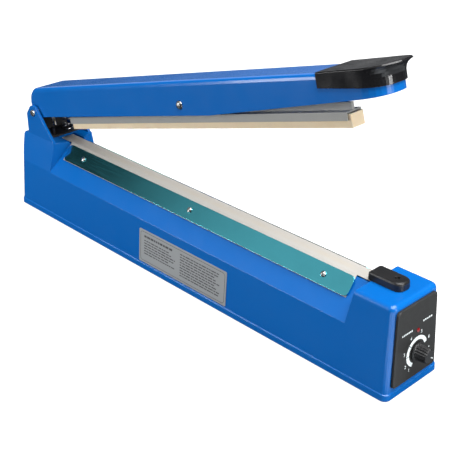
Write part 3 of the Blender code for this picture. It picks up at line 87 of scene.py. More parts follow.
# %% Starting a finish
class Finish:
    """One material under construction: its shader, and the position that its patterns are drawn in."""

    def __init__(self, name, colour, roughness, metallic=0.0):
        self.made = bpy.data.materials.new(name)
        self.made.use_nodes = True
        self.tree = self.made.node_tree
        self.shader = self.tree.nodes["Principled BSDF"]
        self.shader.inputs["Base Color"].default_value = (*colour, 1)
        self.shader.inputs["Roughness"].default_value = roughness
        self.shader.inputs["Metallic"].default_value = metallic
        self.colour = colour
        self.place = self.node("ShaderNodeTexCoord").outputs["Object"]
        self.height = None

    def node(self, kind, **settings):
        made = self.tree.nodes.new(kind)
        for name, value in settings.items():
            setattr(made, name, value)
        return made

    def link(self, a, b):
        self.tree.links.new(a, b)

    def stretched(self, scale):
        """The position scaled along each axis, for grain that runs one way."""
        mapping = self.node("ShaderNodeMapping")
        mapping.inputs["Scale"].default_value = scale
        self.link(self.place, mapping.inputs["Vector"])
        return mapping.outputs["Vector"]

    def noise(self, scale, detail=4.0, place=None, roughness=0.55):
        """Noise from 0 to 1 with a given number of bumps to the metre."""
        made = self.node("ShaderNodeTexNoise")
        made.inputs["Scale"].default_value = scale
        made.inputs["Detail"].default_value = detail
        made.inputs["Roughness"].default_value = roughness
        self.link(place or self.place, made.inputs["Vector"])
        return made.outputs["Fac"]

    def span(self, value, low, high, to_low=0.0, to_high=1.0):
        """The value stretched from one range to another, and held at its ends."""
        made = self.node("ShaderNodeMapRange")
        limits = (("From Min", low), ("From Max", high), ("To Min", to_low), ("To Max", to_high))
        for socket, number in limits:
            made.inputs[socket].default_value = number
        self.link(value, made.inputs["Value"])
        return made.outputs["Result"]

    def sum(self, a, b, kind="ADD"):
        made = self.node("ShaderNodeMath", operation=kind)
        for socket, value in zip(made.inputs, (a, b)):
            if isinstance(value, (int, float)):
                socket.default_value = value
            else:
                self.link(value, socket)
        return made.outputs["Value"]

    def tint(self, share, other):
        """Blends the colour towards another where share is 1."""
        mix = self.node("ShaderNodeMix", data_type="RGBA")
        socket = self.shader.inputs["Base Color"]
        if socket.is_linked:
            self.link(socket.links[0].from_socket, mix.inputs["A"])
        else:
            mix.inputs["A"].default_value = (*self.colour, 1)
        mix.inputs["B"].default_value = (*other, 1)
        self.link(share, mix.inputs["Factor"])
        self.link(mix.outputs["Result"], socket)

    def rough(self, value):
        self.link(value, self.shader.inputs["Roughness"])

    def bump(self, height, depth, strength=1.0):
        """Adds a height pattern, with depth in metres."""
        made = self.node("ShaderNodeBump")
        made.inputs["Distance"].default_value = depth
        made.inputs["Strength"].default_value = strength
        self.link(height, made.inputs["Height"])
        if self.height is not None:
            self.link(self.height, made.inputs["Normal"])
        self.height = made.outputs["Normal"]
        self.link(self.height, self.shader.inputs["Normal"])

    def soften_edges(self, radius):
        """Rounds hard edges in the shading, as a mould or a press does."""
        made = self.node("ShaderNodeBevel", samples=4)
        made.inputs["Radius"].default_value = radius
        self.height = made.outputs["Normal"]
        self.link(self.height, self.shader.inputs["Normal"])

    def edge_highlight_and_wear(self, radius, colour, share):
        """Lightens the very edges: painted highlight where they catch the light, and wear where handling rubs
        them.
        """
        edges = self.node("ShaderNodeBevel", samples=4)
        edges.inputs["Radius"].default_value = radius
        flat = self.node("ShaderNodeNewGeometry")
        dot = self.node("ShaderNodeVectorMath", operation="DOT_PRODUCT")
        self.link(edges.outputs["Normal"], dot.inputs[0])
        self.link(flat.outputs["Normal"], dot.inputs[1])
        edge_lightening = self.span(dot.outputs["Value"], 0.98, 0.80, 0.0, share)
        patchy = self.span(self.noise(160, 5), 0.42, 0.62)
        self.tint(self.sum(edge_lightening, patchy, "MULTIPLY"), colour)


def set_value(finish, **values):
    """Sets constant shader sockets by name, with spaces written as underscores."""
    for name, value in values.items():
        finish.shader.inputs[name.replace("_", " ")].default_value = value


finishes = {}
print("finish kit ready")

# %% [markdown]
# ## Blue enamel
# The base and the arm share one hard, glossy blue. Sprayed enamel is never quite flat: it has a faint
# orange-peel ripple about two millimetres across, tiny dust specks, and hair scratches that catch the
# light. A clear coat layer gives the second, sharper reflection that enamel has over its colour.


# %% Making the blue enamel
def make_enamel():
    made = Finish("blue_enamel_gloss", (0.0004, 0.118, 0.445), 0.22)
    made.soften_edges(0.0009)
    drift = made.span(made.noise(9, 3), 0.35, 0.65)
    made.tint(made.sum(drift, 0.25, "MULTIPLY"), (0.0008, 0.134, 0.480))
    # Painted highlight: a lighter blue along the very edges stands in for the light that the rounded edges catch.
    made.edge_highlight_and_wear(0.0009, (0.12, 0.42, 0.85), 0.45)
    smear = made.noise(38, 5)
    made.rough(made.span(smear, 0.3, 0.7, 0.20, 0.27))
    made.bump(made.noise(480, 2), 0.00003)
    scratches = made.noise(1.0, 2, made.stretched((60, 1400, 1400)), 0.4)
    made.bump(made.span(scratches, 0.70, 0.74), 0.00002, 0.5)
    dust = made.span(made.noise(900, 2), 0.735, 0.76)
    made.tint(made.sum(dust, 0.10, "MULTIPLY"), (0.12, 0.34, 0.62))
    set_value(made, Coat_Weight=0.30, Coat_Roughness=0.07, IOR=1.45)
    return made.made


finishes["blue_enamel"] = make_enamel()
print("blue enamel made")

# %% [markdown]
# ## Black plastics
# The grip is moulded in a polished tool, so it shines and shows the lights as streaks. The end cover, the
# knob and the panel are duller. One function makes all of them, with the size and depth of the surface
# grain as its numbers.


# %% Making the black plastics
def make_black(name, colour, roughness, grain, depth):
    made = Finish(name, colour, roughness)
    made.soften_edges(0.0006)
    # The very edges are tinted a lighter grey.
    made.edge_highlight_and_wear(0.0005, (0.16, 0.16, 0.165), 0.30)
    cells = made.node("ShaderNodeTexVoronoi", feature="SMOOTH_F1")
    cells.inputs["Scale"].default_value = grain
    made.link(made.place, cells.inputs["Vector"])
    made.bump(cells.outputs["Distance"], depth)
    cloud = made.noise(55, 4)
    made.rough(made.span(cloud, 0.3, 0.7, roughness - 0.05, roughness + 0.08))
    made.tint(made.span(made.noise(700, 2), 0.66, 0.80, 0.0, 0.22), (0.12, 0.12, 0.125))
    return made.made


finishes["black_plastic"] = make_black("black_moulding", (0.010, 0.010, 0.011), 0.34, 1500, 0.00004)
finishes["panel_black"] = make_black("satin_panel", (0.016, 0.016, 0.0155), 0.46, 2600, 0.00003)
finishes["grip"] = make_black("moulded_grip", (0.009, 0.009, 0.010), 0.20, 1150, 0.00002)
print("black plastics made:", [name for name in finishes if name != "blue_enamel"])

# %% [markdown]
# ## Metals
# Steel, aluminium and brass differ in colour and in the marks of how they were made. An extrusion has fine
# lines along its length, a plated screw is nearly smooth, and spring wire is dark. Noise stretched along
# one axis draws the lines.


# %% Making the metals
def make_metal(name, colour, roughness, lines=(400, 400, 400), depth=0.00001, mottle=0.12, metallic=1.0):
    made = Finish(name, colour, roughness, metallic)
    made.soften_edges(0.0003)
    streaks = made.noise(1.0, 4, made.stretched(lines))
    made.rough(made.span(streaks, 0.3, 0.7, roughness - 0.06, roughness + 0.10))
    made.bump(streaks, depth)
    darker = tuple(0.62 * part for part in colour)
    made.tint(made.span(made.noise(70, 5), 0.45, 0.75, 0.0, mottle), darker)
    return made.made


ALONG = (30, 2200, 2200)
ACROSS = (2400, 40, 2400)
finishes["aluminium"] = make_metal("extruded_aluminium", (0.42, 0.42, 0.40), 0.42, ALONG, 0.00003, 0.12, 0.35)
finishes["clamp_alloy"] = make_metal("bright_clamp_alloy", (0.15, 0.74, 0.86), 0.09, ALONG, 0.000008)
finishes["plated_steel"] = make_metal("zinc_plated_steel", (0.66, 0.66, 0.64), 0.26)
finishes["spring_steel"] = make_metal("oiled_spring_wire", (0.30, 0.30, 0.31), 0.30)
finishes["brass"] = make_metal("machined_brass", (0.70, 0.52, 0.22), 0.28)
finishes["nichrome"] = make_metal("resistance_ribbon", (0.42, 0.38, 0.34), 0.42, ALONG, 0.00002, 0.4)
finishes["label_plate"] = make_metal("printed_foil", (0.38, 0.40, 0.41), 0.42, ACROSS, 0.00001, 0.06, 0.25)
print("metals made")


# %% [markdown]
# ## Laminations and windings
# A transformer core is a stack of steel sheets under a millimetre thick, so it shows fine parallel lines. The
# winding is wrapped in amber tape. Wave textures give both their regular lines.


# %% Making the striped finishes
def make_striped(name, colour, roughness, metallic, pitch, axis, dark, depth):
    """Fine parallel lines, one to each pitch along an axis."""
    made = Finish(name, colour, roughness, metallic)
    wave = made.node("ShaderNodeTexWave", wave_type="BANDS", bands_direction=axis)
    wave.inputs["Scale"].default_value = math.pi / (10 * pitch)
    wave.inputs["Distortion"].default_value = 0.4
    made.link(made.place, wave.inputs["Vector"])
    made.bump(wave.outputs["Fac"], depth)
    made.tint(made.span(wave.outputs["Fac"], 0.35, 0.05, 0.0, 0.7), dark)
    made.tint(made.span(made.noise(120, 4), 0.5, 0.8, 0.0, 0.4), dark)
    made.rough(made.span(made.noise(300, 3), 0.3, 0.7, roughness - 0.08, roughness + 0.1))
    return made.made


finishes["laminations"] = make_striped(
    "stacked_laminations", (0.20, 0.20, 0.21), 0.5, 0.8, 0.0007, "Y", (0.03, 0.025, 0.02), 0.00010
)
finishes["winding"] = make_striped(
    "taped_winding", (0.62, 0.42, 0.10), 0.42, 0.0, 0.0050, "Z", (0.35, 0.20, 0.04), 0.00020
)
finishes["circuit_board"] = make_striped(
    "circuit_laminate", (0.02, 0.16, 0.06), 0.38, 0.0, 0.0024, "X", (0.01, 0.09, 0.03), 0.00003
)
print("striped finishes made")

# %% [markdown]
# ## Silicone, rubber and tape
# The pressure strip is cream silicone sponge: slightly waxy, with light passing a little way into it, and
# with fine pores that show on its cut end. Subsurface scattering gives the waxy look. The feet are plain
# black rubber, and the insulating strip is woven glass tape.


# %% Making the soft finishes
def make_silicone():
    made = Finish("cream_silicone_sponge", (0.88, 0.72, 0.49), 0.55)
    made.soften_edges(0.0005)
    pores = made.node("ShaderNodeTexVoronoi", feature="F1")
    pores.inputs["Scale"].default_value = 1700
    made.link(made.place, pores.inputs["Vector"])
    pits = made.span(pores.outputs["Distance"], 0.10, 0.30)
    made.bump(pits, 0.00008, 0.7)
    # Painted shade: the pits of the pores are tinted a darker brown, standing in for the shade inside them.
    made.tint(made.span(pits, 1.0, 0.0, 0.0, 0.25), (0.52, 0.38, 0.22))
    made.tint(made.span(made.noise(45, 4), 0.45, 0.70, 0.0, 0.35), (0.72, 0.56, 0.36))
    made.rough(made.span(made.noise(260, 3), 0.3, 0.7, 0.48, 0.64))
    set_value(made, Subsurface_Weight=0.18, Subsurface_Radius=(0.9, 0.6, 0.35), Subsurface_Scale=0.0015)
    return made.made


def make_soft(name, colour, roughness, grain, depth, spot):
    """A dull surface with a fine grain and cloudy patches."""
    made = Finish(name, colour, roughness)
    made.bump(made.noise(grain, 3), depth)
    made.tint(made.span(made.noise(90, 5), 0.45, 0.75, 0.0, 0.5), spot)
    made.rough(made.span(made.noise(400, 3), 0.3, 0.7, roughness - 0.08, roughness + 0.08))
    return made.made


def make_lamp_lens():
    made = Finish("red_lamp_lens", (0.20, 0.008, 0.010), 0.12)
    made.bump(made.noise(2200, 1), 0.00003)
    made.tint(made.span(made.noise(600, 3), 0.5, 0.7, 0.0, 0.5), (0.09, 0.004, 0.005))
    made.rough(made.span(made.noise(800, 2), 0.3, 0.7, 0.08, 0.18))
    set_value(made, Coat_Weight=0.6, Coat_Roughness=0.03)
    return made.made


finishes["cream_silicone"] = make_silicone()
finishes["black_rubber"] = make_soft(
    "moulded_rubber", (0.022, 0.022, 0.022), 0.75, 1800, 0.00006, (0.05, 0.05, 0.05)
)
finishes["insulation"] = make_soft("glass_tape", (0.66, 0.60, 0.46), 0.68, 2400, 0.00010, (0.52, 0.44, 0.30))
finishes["lamp_red"] = make_lamp_lens()
print("soft finishes made")

# %% [markdown]
# ## Coated glass cloth
# The cloth over the element is woven glass, coated so that hot plastic can't stick to it. Close up it is a
# plain weave, with its yarns three quarters of a millimetre apart. It is a little shiny, and slightly browner
# along the middle where the element heats it. Two crossed wave textures make the weave.


# %% Making the cloth's finish
def make_cloth_finish():
    made = Finish("coated_glass_cloth", (0.48, 0.465, 0.44), 0.42)
    pitch = 0.00075
    yarns = []
    for axis in ("X", "Y"):
        wave = made.node("ShaderNodeTexWave", wave_type="BANDS", bands_direction=axis)
        wave.inputs["Scale"].default_value = math.pi / (10 * pitch)
        wave.inputs["Distortion"].default_value = 0.25
        made.link(made.place, wave.inputs["Vector"])
        yarns.append(wave.outputs["Fac"])
    weave = made.sum(yarns[0], yarns[1], "MULTIPLY")
    made.bump(weave, 0.00007)
    made.tint(made.span(weave, 0.0, 0.6, 0.35, 0.0), (0.47, 0.43, 0.37))
    split = made.node("ShaderNodeSeparateXYZ")
    made.link(made.place, split.inputs[0])
    off_middle = made.sum(split.outputs["Y"], 0.0, "ABSOLUTE")
    browned = made.span(off_middle, 0.0045, 0.0015)
    scorch = made.sum(browned, made.span(made.noise(26, 4), 0.35, 0.65), "MULTIPLY")
    made.tint(made.sum(scorch, 0.42, "MULTIPLY"), (0.50, 0.42, 0.30))
    made.rough(made.span(made.noise(240, 4), 0.3, 0.7, 0.30, 0.52))
    made.bump(made.noise(60, 3), 0.00030, 0.6)
    set_value(made, Sheen_Weight=0.15, Coat_Weight=0.25, Coat_Roughness=0.25)
    return made.made


finishes["ptfe_cloth"] = make_cloth_finish()
print("cloth finish made")

# %% [markdown]
# ## Giving each piece its finish
# The record that comes with the machine says which finish slot each piece uses. Only the grip differs from
# its slot's usual black, because it is the glossier moulding.

# %% Assigning the finishes
slot_of = {part["node"]: part["material_slot"] for part in frame["record"]["subparts"]}
for name, piece in nodes.items():
    finish = "grip" if name == "handle_cap" else slot_of[name]
    piece.data.materials.clear()
    piece.data.materials.append(finishes[finish])
print("finishes on", len(nodes), "pieces")

# %% [markdown]
# ## A kit for printed and added pieces
# Print is thin: a twentieth of a millimetre of ink standing on the surface. Each mark is a real, very thin
# solid, so it keeps its place when the machine moves and in an exported model.


# %% Helpers that make meshes
def mesh_piece(name, work, finish, body):
    """Turns a bmesh into a piece that rides on a body."""
    bmesh.ops.recalc_face_normals(work, faces=work.faces)
    data = bpy.data.meshes.new(name)
    work.to_mesh(data)
    work.free()
    made = bpy.data.objects.new(name, data)
    bpy.context.scene.collection.objects.link(made)
    data.materials.append(finish)
    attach(made, body)
    return made


def add_slab(work, outline, low, high, place):
    """A thin solid between two heights over an outline, put in position by a matrix."""
    rings = []
    for height in (low, high):
        rings.append([work.verts.new(place @ Vector((x, y, height))) for x, y in outline])
    count = len(outline)
    for i in range(count):
        j = (i + 1) % count
        work.faces.new((rings[0][i], rings[0][j], rings[1][j], rings[1][i]))
    work.faces.new(rings[1])
    work.faces.new(list(reversed(rings[0])))


def bar_outline(x0, x1, y0, y1):
    return [(x0, y0), (x1, y0), (x1, y1), (x0, y1)]


def on_face(origin, right, up):
    """A matrix whose X runs right, Y up and Z out of a face."""
    right, up = right.normalized(), up.normalized()
    out = right.cross(up)
    turn = Matrix((right, up, out)).transposed().to_4x4()
    return Matrix.Translation(origin) @ turn


INK = 0.05 * MM
print("mesh kit ready")

# %% [markdown]
# ## Print finishes
# White dial ink and dark plate ink. Both are matt, with the slightly broken cover that screen printing leaves. The
# dark ink also fills the screws' crosses, where it is painted shade.

# %% Making the inks
white_ink = make_soft("white_dial_ink", (0.78, 0.86, 0.87), 0.50, 1500, 0.00001, (0.62, 0.70, 0.72))
dark_ink_and_recess_shade = make_soft("dark_plate_ink_and_recess_shade", (0.055, 0.057, 0.062), 0.55, 1500, 0.00001, (0.12, 0.12, 0.13))
print("inks made")

# %% [markdown]
# ## The panel's dial
# Around the knob runs a broad white arc in three stretches, with numbers outside it. The arc is what the
# user reads the sealing time from. Each stretch is a strip between two radii, swept by a loop.


# %% Printing the dial's arc
panel_out = knob_axis
panel_right = Vector((0, 1, 0))
# The plate's outer face is a fixed distance out from the knob's joint, measured along the knob's axis.
face_height = max((vertex.co - knob_place).dot(panel_out) for vertex in nodes["control_panel"].data.vertices)
dial = on_face(knob_place, panel_right, panel_out.cross(panel_right))
ARC_INNER = 10.8 * MM
ARC_OUTER = 14.4 * MM
ARC_SPANS = ((243, 186), (183, 141), (138, 18))


def arc_outline(start, end, inner, outer, step=6):
    """The outline of a stretch of ring, from one angle to another in degrees."""
    count = max(2, int(abs(start - end) / step))
    turns = [math.radians(start + (end - start) * i / count) for i in range(count + 1)]
    outside = [(outer * math.cos(t), outer * math.sin(t)) for t in turns]
    inside = [(inner * math.cos(t), inner * math.sin(t)) for t in reversed(turns)]
    return outside + inside


def print_arc():
    work = bmesh.new()
    for start, end in ARC_SPANS:
        add_slab(work, arc_outline(start, end, ARC_INNER, ARC_OUTER), face_height, face_height + INK, dial)
    return mesh_piece("dial_arc", work, white_ink, "base")


dial_arc = print_arc()
print("dial arc:", len(dial_arc.data.polygons), "faces, face at", round(face_height / MM, 2), "mm")

# %% [markdown]
# ## Numbers round the dial
# Blender can draw characters itself with a text object. Each number is made, turned into a mesh and laid on
# the panel.

# %% Printing the numbers
NUMBER_RADIUS = 18.0 * MM
NUMBER_SIZE = 4.6 * MM
NUMBER_ANGLES = [236, 212, 168, 120, 73, 22, -16, -52]


def print_number(label, angle):
    words = bpy.data.curves.new("number_" + label, "FONT")
    words.body = label
    words.size = NUMBER_SIZE
    words.extrude = 0.5 * INK
    words.align_x = "CENTER"
    words.align_y = "CENTER"
    words.resolution_u = 3
    holder = bpy.data.objects.new("number_holder", words)
    bpy.context.scene.collection.objects.link(holder)
    bpy.context.view_layer.update()
    shape = bpy.data.meshes.new_from_object(holder)
    bpy.data.objects.remove(holder)
    turn = math.radians(angle)
    centre = Vector((NUMBER_RADIUS * math.cos(turn), NUMBER_RADIUS * math.sin(turn), face_height + 0.5 * INK))
    shape.transform(dial @ Matrix.Translation(centre))
    work = bmesh.new()
    work.from_mesh(shape)
    bpy.data.meshes.remove(shape)
    return mesh_piece("dial_number_" + label, work, white_ink, "base")


for number, angle in enumerate(NUMBER_ANGLES):
    print_number(str(number + 1), angle)
print("numbers 1 to", len(NUMBER_ANGLES), "at radius", NUMBER_RADIUS / MM, "mm")

# %% [markdown]
# ## Plain marks on the panel
# Two short rows of dashes stand where a maker would put words: one beside the lamp and one near the top.

# %% Printing the plain marks
MARK_TALL = 1.5 * MM
# Each row: its left and right ends, its height over the knob, and how many marks it has.
MARK_ROWS = ((-22.0 * MM, -7.0 * MM, 22.6 * MM, 7), (6.5 * MM, 20.0 * MM, 25.9 * MM, 5))


def print_marks():
    work = bmesh.new()
    for x0, x1, y, count in MARK_ROWS:
        pitch = (x1 - x0) / count
        for i in range(count):
            left = x0 + i * pitch
            outline = bar_outline(left, left + 0.66 * pitch, y, y + MARK_TALL)
            add_slab(work, outline, face_height, face_height + INK, dial)
    return mesh_piece("panel_marks", work, white_ink, "base")


panel_marks = print_marks()
print("panel marks:", len(panel_marks.data.vertices), "corners")

# %% [markdown]
# ## The knob's pointer
# A white line on the knob's face shows where it is set. It rides on the knob, so it turns with it.

# %% Painting the pointer
POINTER_ANGLE = math.radians(-38)
POINTER_START = 2.2 * MM
POINTER_END = 5.3 * MM
POINTER_HALF = 0.45 * MM
knob_top = max((vertex.co - knob_place).dot(panel_out) for vertex in nodes["timer_knob"].data.vertices)


def paint_pointer():
    work = bmesh.new()
    turn = dial @ Matrix.Rotation(POINTER_ANGLE, 4, "Z")
    line = bar_outline(POINTER_START, POINTER_END, -POINTER_HALF, POINTER_HALF)
    add_slab(work, line, knob_top, knob_top + INK, turn)
    return mesh_piece("knob_pointer", work, white_ink, "knob")


paint_pointer()
print("pointer at", round(math.degrees(POINTER_ANGLE)), "degrees, height", round(knob_top / MM, 2), "mm")

# %% [markdown]
# ## The rating plate
# A foil plate with a thin dark border and two columns of small print. The print here is only rows of bars,
# so it says nothing. Random lengths, drawn from a fixed seed, give the broken look of lines of words.


# %% Printing the rating plate
plate_mesh = nodes["rating_plate"].data
near_low = min(plate_mesh.vertices, key=lambda v: v.co.y + v.co.z)
near_high = min(plate_mesh.vertices, key=lambda v: v.co.y - v.co.z)
slope = Vector((0, near_high.co.y - near_low.co.y, near_high.co.z - near_low.co.z)).normalized()
plate_face = on_face(Vector((plate_low.x, near_low.co.y, near_low.co.z)), Vector((1, 0, 0)), slope)
PLATE_WIDE = plate_high.x - plate_low.x
PLATE_TALL = (near_high.co - near_low.co).length
HEAD_DROP = 8.0 * MM
HEAD_TALL = 2.3 * MM
LINE_TALL = 1.15 * MM
LINE_PITCH = 2.9 * MM
# Each column: its left and right ends, the height of its first line against the heading, and its lines.
PLATE_COLUMNS = ((8 * MM, 56 * MM, -4.2 * MM, 6), (63 * MM, 121 * MM, 1.0 * MM, 9))


def rounded_outline(x0, x1, y0, y1, radius, steps=4):
    points = []
    for cx, cy, start in ((x1, y1, 0), (x0, y1, 90), (x0, y0, 180), (x1, y0, 270)):
        ox = cx - radius if cx == x1 else cx + radius
        oy = cy - radius if cy == y1 else cy + radius
        for i in range(steps + 1):
            turn = math.radians(start + 90 * i / steps)
            points.append((ox + radius * math.cos(turn), oy + radius * math.sin(turn)))
    return points


def add_frame(work, inset, width, radius):
    """A thin closed border between two rounded outlines."""
    outer = rounded_outline(inset, PLATE_WIDE - inset, inset, PLATE_TALL - inset, radius)
    deep = inset + width
    inner = rounded_outline(deep, PLATE_WIDE - deep, deep, PLATE_TALL - deep, radius - width)
    rings = []
    for outline, height in ((outer, 0), (outer, INK), (inner, INK), (inner, 0)):
        rings.append([work.verts.new(plate_face @ Vector((x, y, height))) for x, y in outline])
    count = len(outer)
    for a in range(4):
        b = (a + 1) % 4
        for i in range(count):
            j = (i + 1) % count
            work.faces.new((rings[a][i], rings[a][j], rings[b][j], rings[b][i]))


def add_print(work, x0, x1, y, tall, draw):
    """One line of print: bars of random length with gaps between them."""
    x = x0
    while x < x1 - 1.5 * MM:
        word = draw.uniform(2.0, 6.5) * MM
        end = min(x + word, x1)
        add_slab(work, bar_outline(x, end, y, y + tall), 0, INK, plate_face)
        x = end + draw.uniform(0.7, 1.1) * MM


def print_plate():
    work = bmesh.new()
    draw = random.Random(7)
    add_frame(work, 2.0 * MM, 0.45 * MM, 3.4 * MM)
    head = PLATE_TALL - HEAD_DROP
    add_print(work, 8 * MM, 52 * MM, head, HEAD_TALL, draw)
    for x0, x1, rise, lines in PLATE_COLUMNS:
        for line in range(lines):
            short = x1 - draw.uniform(0, 9) * MM
            add_print(work, x0, short, head + rise - line * LINE_PITCH, LINE_TALL, draw)
    return mesh_piece("plate_print", work, dark_ink_and_recess_shade, "base")


plate_print = print_plate()
print("plate", round(PLATE_WIDE / MM, 1), "by", round(PLATE_TALL / MM, 1), "mm")
print("its print has", len(plate_print.data.polygons), "faces")

# %% [markdown]
# ## The cloth over the ridge
# The cloth is a real sheet, cut to size, laid over the ridge and held tight by the two clamp strips.
# Nothing holds its middle down, so it lies in very slight waves. A grid of points follows the ridge's
# section: down one shoulder, across the top and down the other. Only the flat top moves, by parts of a
# millimetre. Past the clamp strips the sheet is cut narrower, so two tails run on along the top: one back
# into the slot of the rear block, cut at a slant, and one forward to the front block.

# %% Laying the cloth
cloth_low, cloth_high = (Vector(corner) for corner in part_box("ptfe_cloth"))
saddle = nodes["ptfe_cloth"].data
CLOTH_THICK = 0.18 * MM
RIPPLE_DEPTH = 0.16 * MM
SADDLE_HALF_TOP = 12 * MM  # beyond this from the middle line, the sheet is on a shoulder
REAR_TAIL_SHORT = 2.8 * MM  # how far the rear tail's middle stays short of the design's sheet
REAR_TAIL_SLANT = 5.2 * MM
TOP_LEVEL = cloth_high.z - 0.10 * MM
flap_xs = [vertex.co.x for vertex in saddle.vertices if abs(vertex.co.y) > SADDLE_HALF_TOP]
flap_rear, flap_front = min(flap_xs), max(flap_xs)
flap_foot = max(saddle.vertices, key=lambda vertex: vertex.co.y).co
shoulder_face = max(nodes["clamp_strip_far"].data.polygons, key=lambda face: face.area)
SHOULDER = math.atan2(abs(shoulder_face.normal.y), abs(shoulder_face.normal.z))


def ripple(x, y):
    """A slow wave along the ridge with smaller ones across it, between 0 and 1."""
    slow = math.sin(41 * x + 1.3) + 0.6 * math.sin(97 * x + 190 * y)
    quick = 0.5 * math.sin(233 * x - 260 * y + 0.4)
    return 0.5 + 0.238 * (slow + quick)


def section_points(half, down):
    """(y, z, how free it is) across the sheet from its near edge to its far edge, for one place along it."""
    right = []
    top_steps = 6
    for i in range(top_steps + 1):
        share = i / top_steps
        right.append((half * share, TOP_LEVEL, 1 - share**4))
    steps = 3
    for i in range(1, steps + 1):
        leg = down * i / steps
        right.append((half + leg * math.cos(SHOULDER), TOP_LEVEL - leg * math.sin(SHOULDER), 0.0))
    return [(-y, z, free) for y, z, free in reversed(right[1:])] + right


def sheet_row(work, x, points, slant=0.0):
    """One row of the sheet's corners. The slant draws its near end forward of its far end."""
    row = []
    for y, z, free in points:
        lift = RIPPLE_DEPTH * free * ripple(x, y)
        row.append(work.verts.new((x - slant * y / flap_foot.y, y, z + lift)))
    return row


def join_rows(work, rows):
    for a, b in zip(rows, rows[1:]):
        for i in range(len(a) - 1):
            work.faces.new((a[i], a[i + 1], b[i + 1], b[i]))


def run_tail(work, first_row, start, end, top, slant, steps=8):
    """A tail of the sheet along the top, from a row that is there already."""
    rows = [first_row]
    for i in range(1, steps + 1):
        share = i / steps
        rows.append(sheet_row(work, start + (end - start) * share, top, slant * share))
    join_rows(work, rows)


def lay_cloth(columns=150):
    work = bmesh.new()
    half = flap_foot.y - (TOP_LEVEL - flap_foot.z) / math.tan(SHOULDER)
    down = (TOP_LEVEL - flap_foot.z) / math.sin(SHOULDER)
    across = section_points(half, down)
    length = flap_front - flap_rear
    rows = [sheet_row(work, flap_rear + length * i / columns, across) for i in range(columns + 1)]
    join_rows(work, rows)
    middle = [i for i, point in enumerate(across) if abs(point[0]) <= half + 0.01 * MM]
    top = [across[i] for i in middle]
    rear_end = cloth_low.x + REAR_TAIL_SHORT
    run_tail(work, [rows[0][i] for i in middle], flap_rear, rear_end, top, REAR_TAIL_SLANT)
    run_tail(work, [rows[-1][i] for i in middle], flap_front, cloth_high.x, top, 0.0)
    made = mesh_piece("ridge_cloth", work, finishes["ptfe_cloth"], "base")
    thick = made.modifiers.new("thickness", "SOLIDIFY")
    thick.thickness = CLOTH_THICK
    thick.offset = 0
    made.data.shade_smooth()
    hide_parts("ptfe_cloth")
    return made


lay_cloth()
print("flaps from", round(flap_rear, 4), "to", round(flap_front, 4))
print("shoulders slope at", round(math.degrees(SHOULDER), 1), "degrees")

# %% [markdown]
# ## Return spring
# The spring that holds the arm up shortens as the arm comes down. Here it keeps the design's own shape and length:
# a copy of the coil, in oiled spring wire, rides on the base in its place.


# %% Copying the spring
def make_spring():
    coil = nodes["return_spring"]
    made = bpy.data.objects.new("return_coil", coil.data.copy())
    bpy.context.scene.collection.objects.link(made)
    made.matrix_world = coil.matrix_world.copy()
    made.data.materials.clear()
    made.data.materials.append(finishes["spring_steel"])
    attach(made, "base")
    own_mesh(made)
    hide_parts("return_spring")
    return made


make_spring()

# %% [markdown]
# ## Cross recesses in the screws
# The clamp strips' screws are cross-headed. A thin dark cross on each head stands for the recess at this size: its
# dark is painted shade, for the shadow inside a recess that is not cut.

# %% Cutting the crosses
CROSS_REACH = 1.35 * MM
CROSS_HALF = 0.24 * MM
CROWN_DEPTH = 0.05 * MM  # corners this close to a head's top tell where its middle is


def add_cross(name, node, normal):
    data = nodes[node].data
    top = max(v.co.dot(normal) for v in data.vertices)
    crown = [v.co for v in data.vertices if v.co.dot(normal) > top - CROWN_DEPTH]
    centre = sum(crown, Vector()) / len(crown)
    side = Vector((1, 0, 0))
    place = on_face(centre, side, normal.cross(side))
    outline = []
    for quarter in range(4):
        turn = Matrix.Rotation(quarter * math.pi / 2, 2)
        for x, y in ((CROSS_REACH, -CROSS_HALF), (CROSS_REACH, CROSS_HALF), (CROSS_HALF, CROSS_HALF)):
            outline.append(tuple(turn @ Vector((x, y))))
    work = bmesh.new()
    # Painted shade: this dark cross stands in for the shadow inside the screw's recess.
    add_slab(work, outline, -0.35 * MM, 0.04 * MM, place)
    return mesh_piece(name, work, dark_ink_and_recess_shade, "base")


for side, word in ((-1, "near"), (1, "far")):
    for number in range(1, 4):
        normal = Vector((0, side * math.sin(SHOULDER), math.cos(SHOULDER)))
        add_cross("cross_%s_%d" % (word, number), "clamp_screw_%s_%d" % (word, number), normal)
print("crosses cut in 6 screws")

# %% [markdown]
# ## The bench
# The machine stands on a pale, plain surface. A glossy machine mirrors whatever lies under it, so a studio
# lays a pale sheet that the lens sees and keeps the rest of the room dim. Here one floor does both: the lens
# sees it pale, and reflections see it dim. The Light Path node tells the two apart. Only a patch beside the
# panel end stays pale in reflections, as a card laid there would, and lights the round front corner.

# %% Laying the bench
BENCH_REACH = 6.0
BENCH_GLOW = 0.90
BENCH_MIRRORED = (0.018, 0.020, 0.024)
CARD_MIRRORED = (0.75, 0.80, 0.84)
CARD_START = (0.005, 0.035)  # how far past the panel end the card fades in
CARD_DEPTH = (0.30, 0.20)  # how far out from the near side it fades out
CARD_BACK = (-0.02, 0.01)  # where it drops behind the machine's middle line
CARD_BACK_SHARE = 0.25


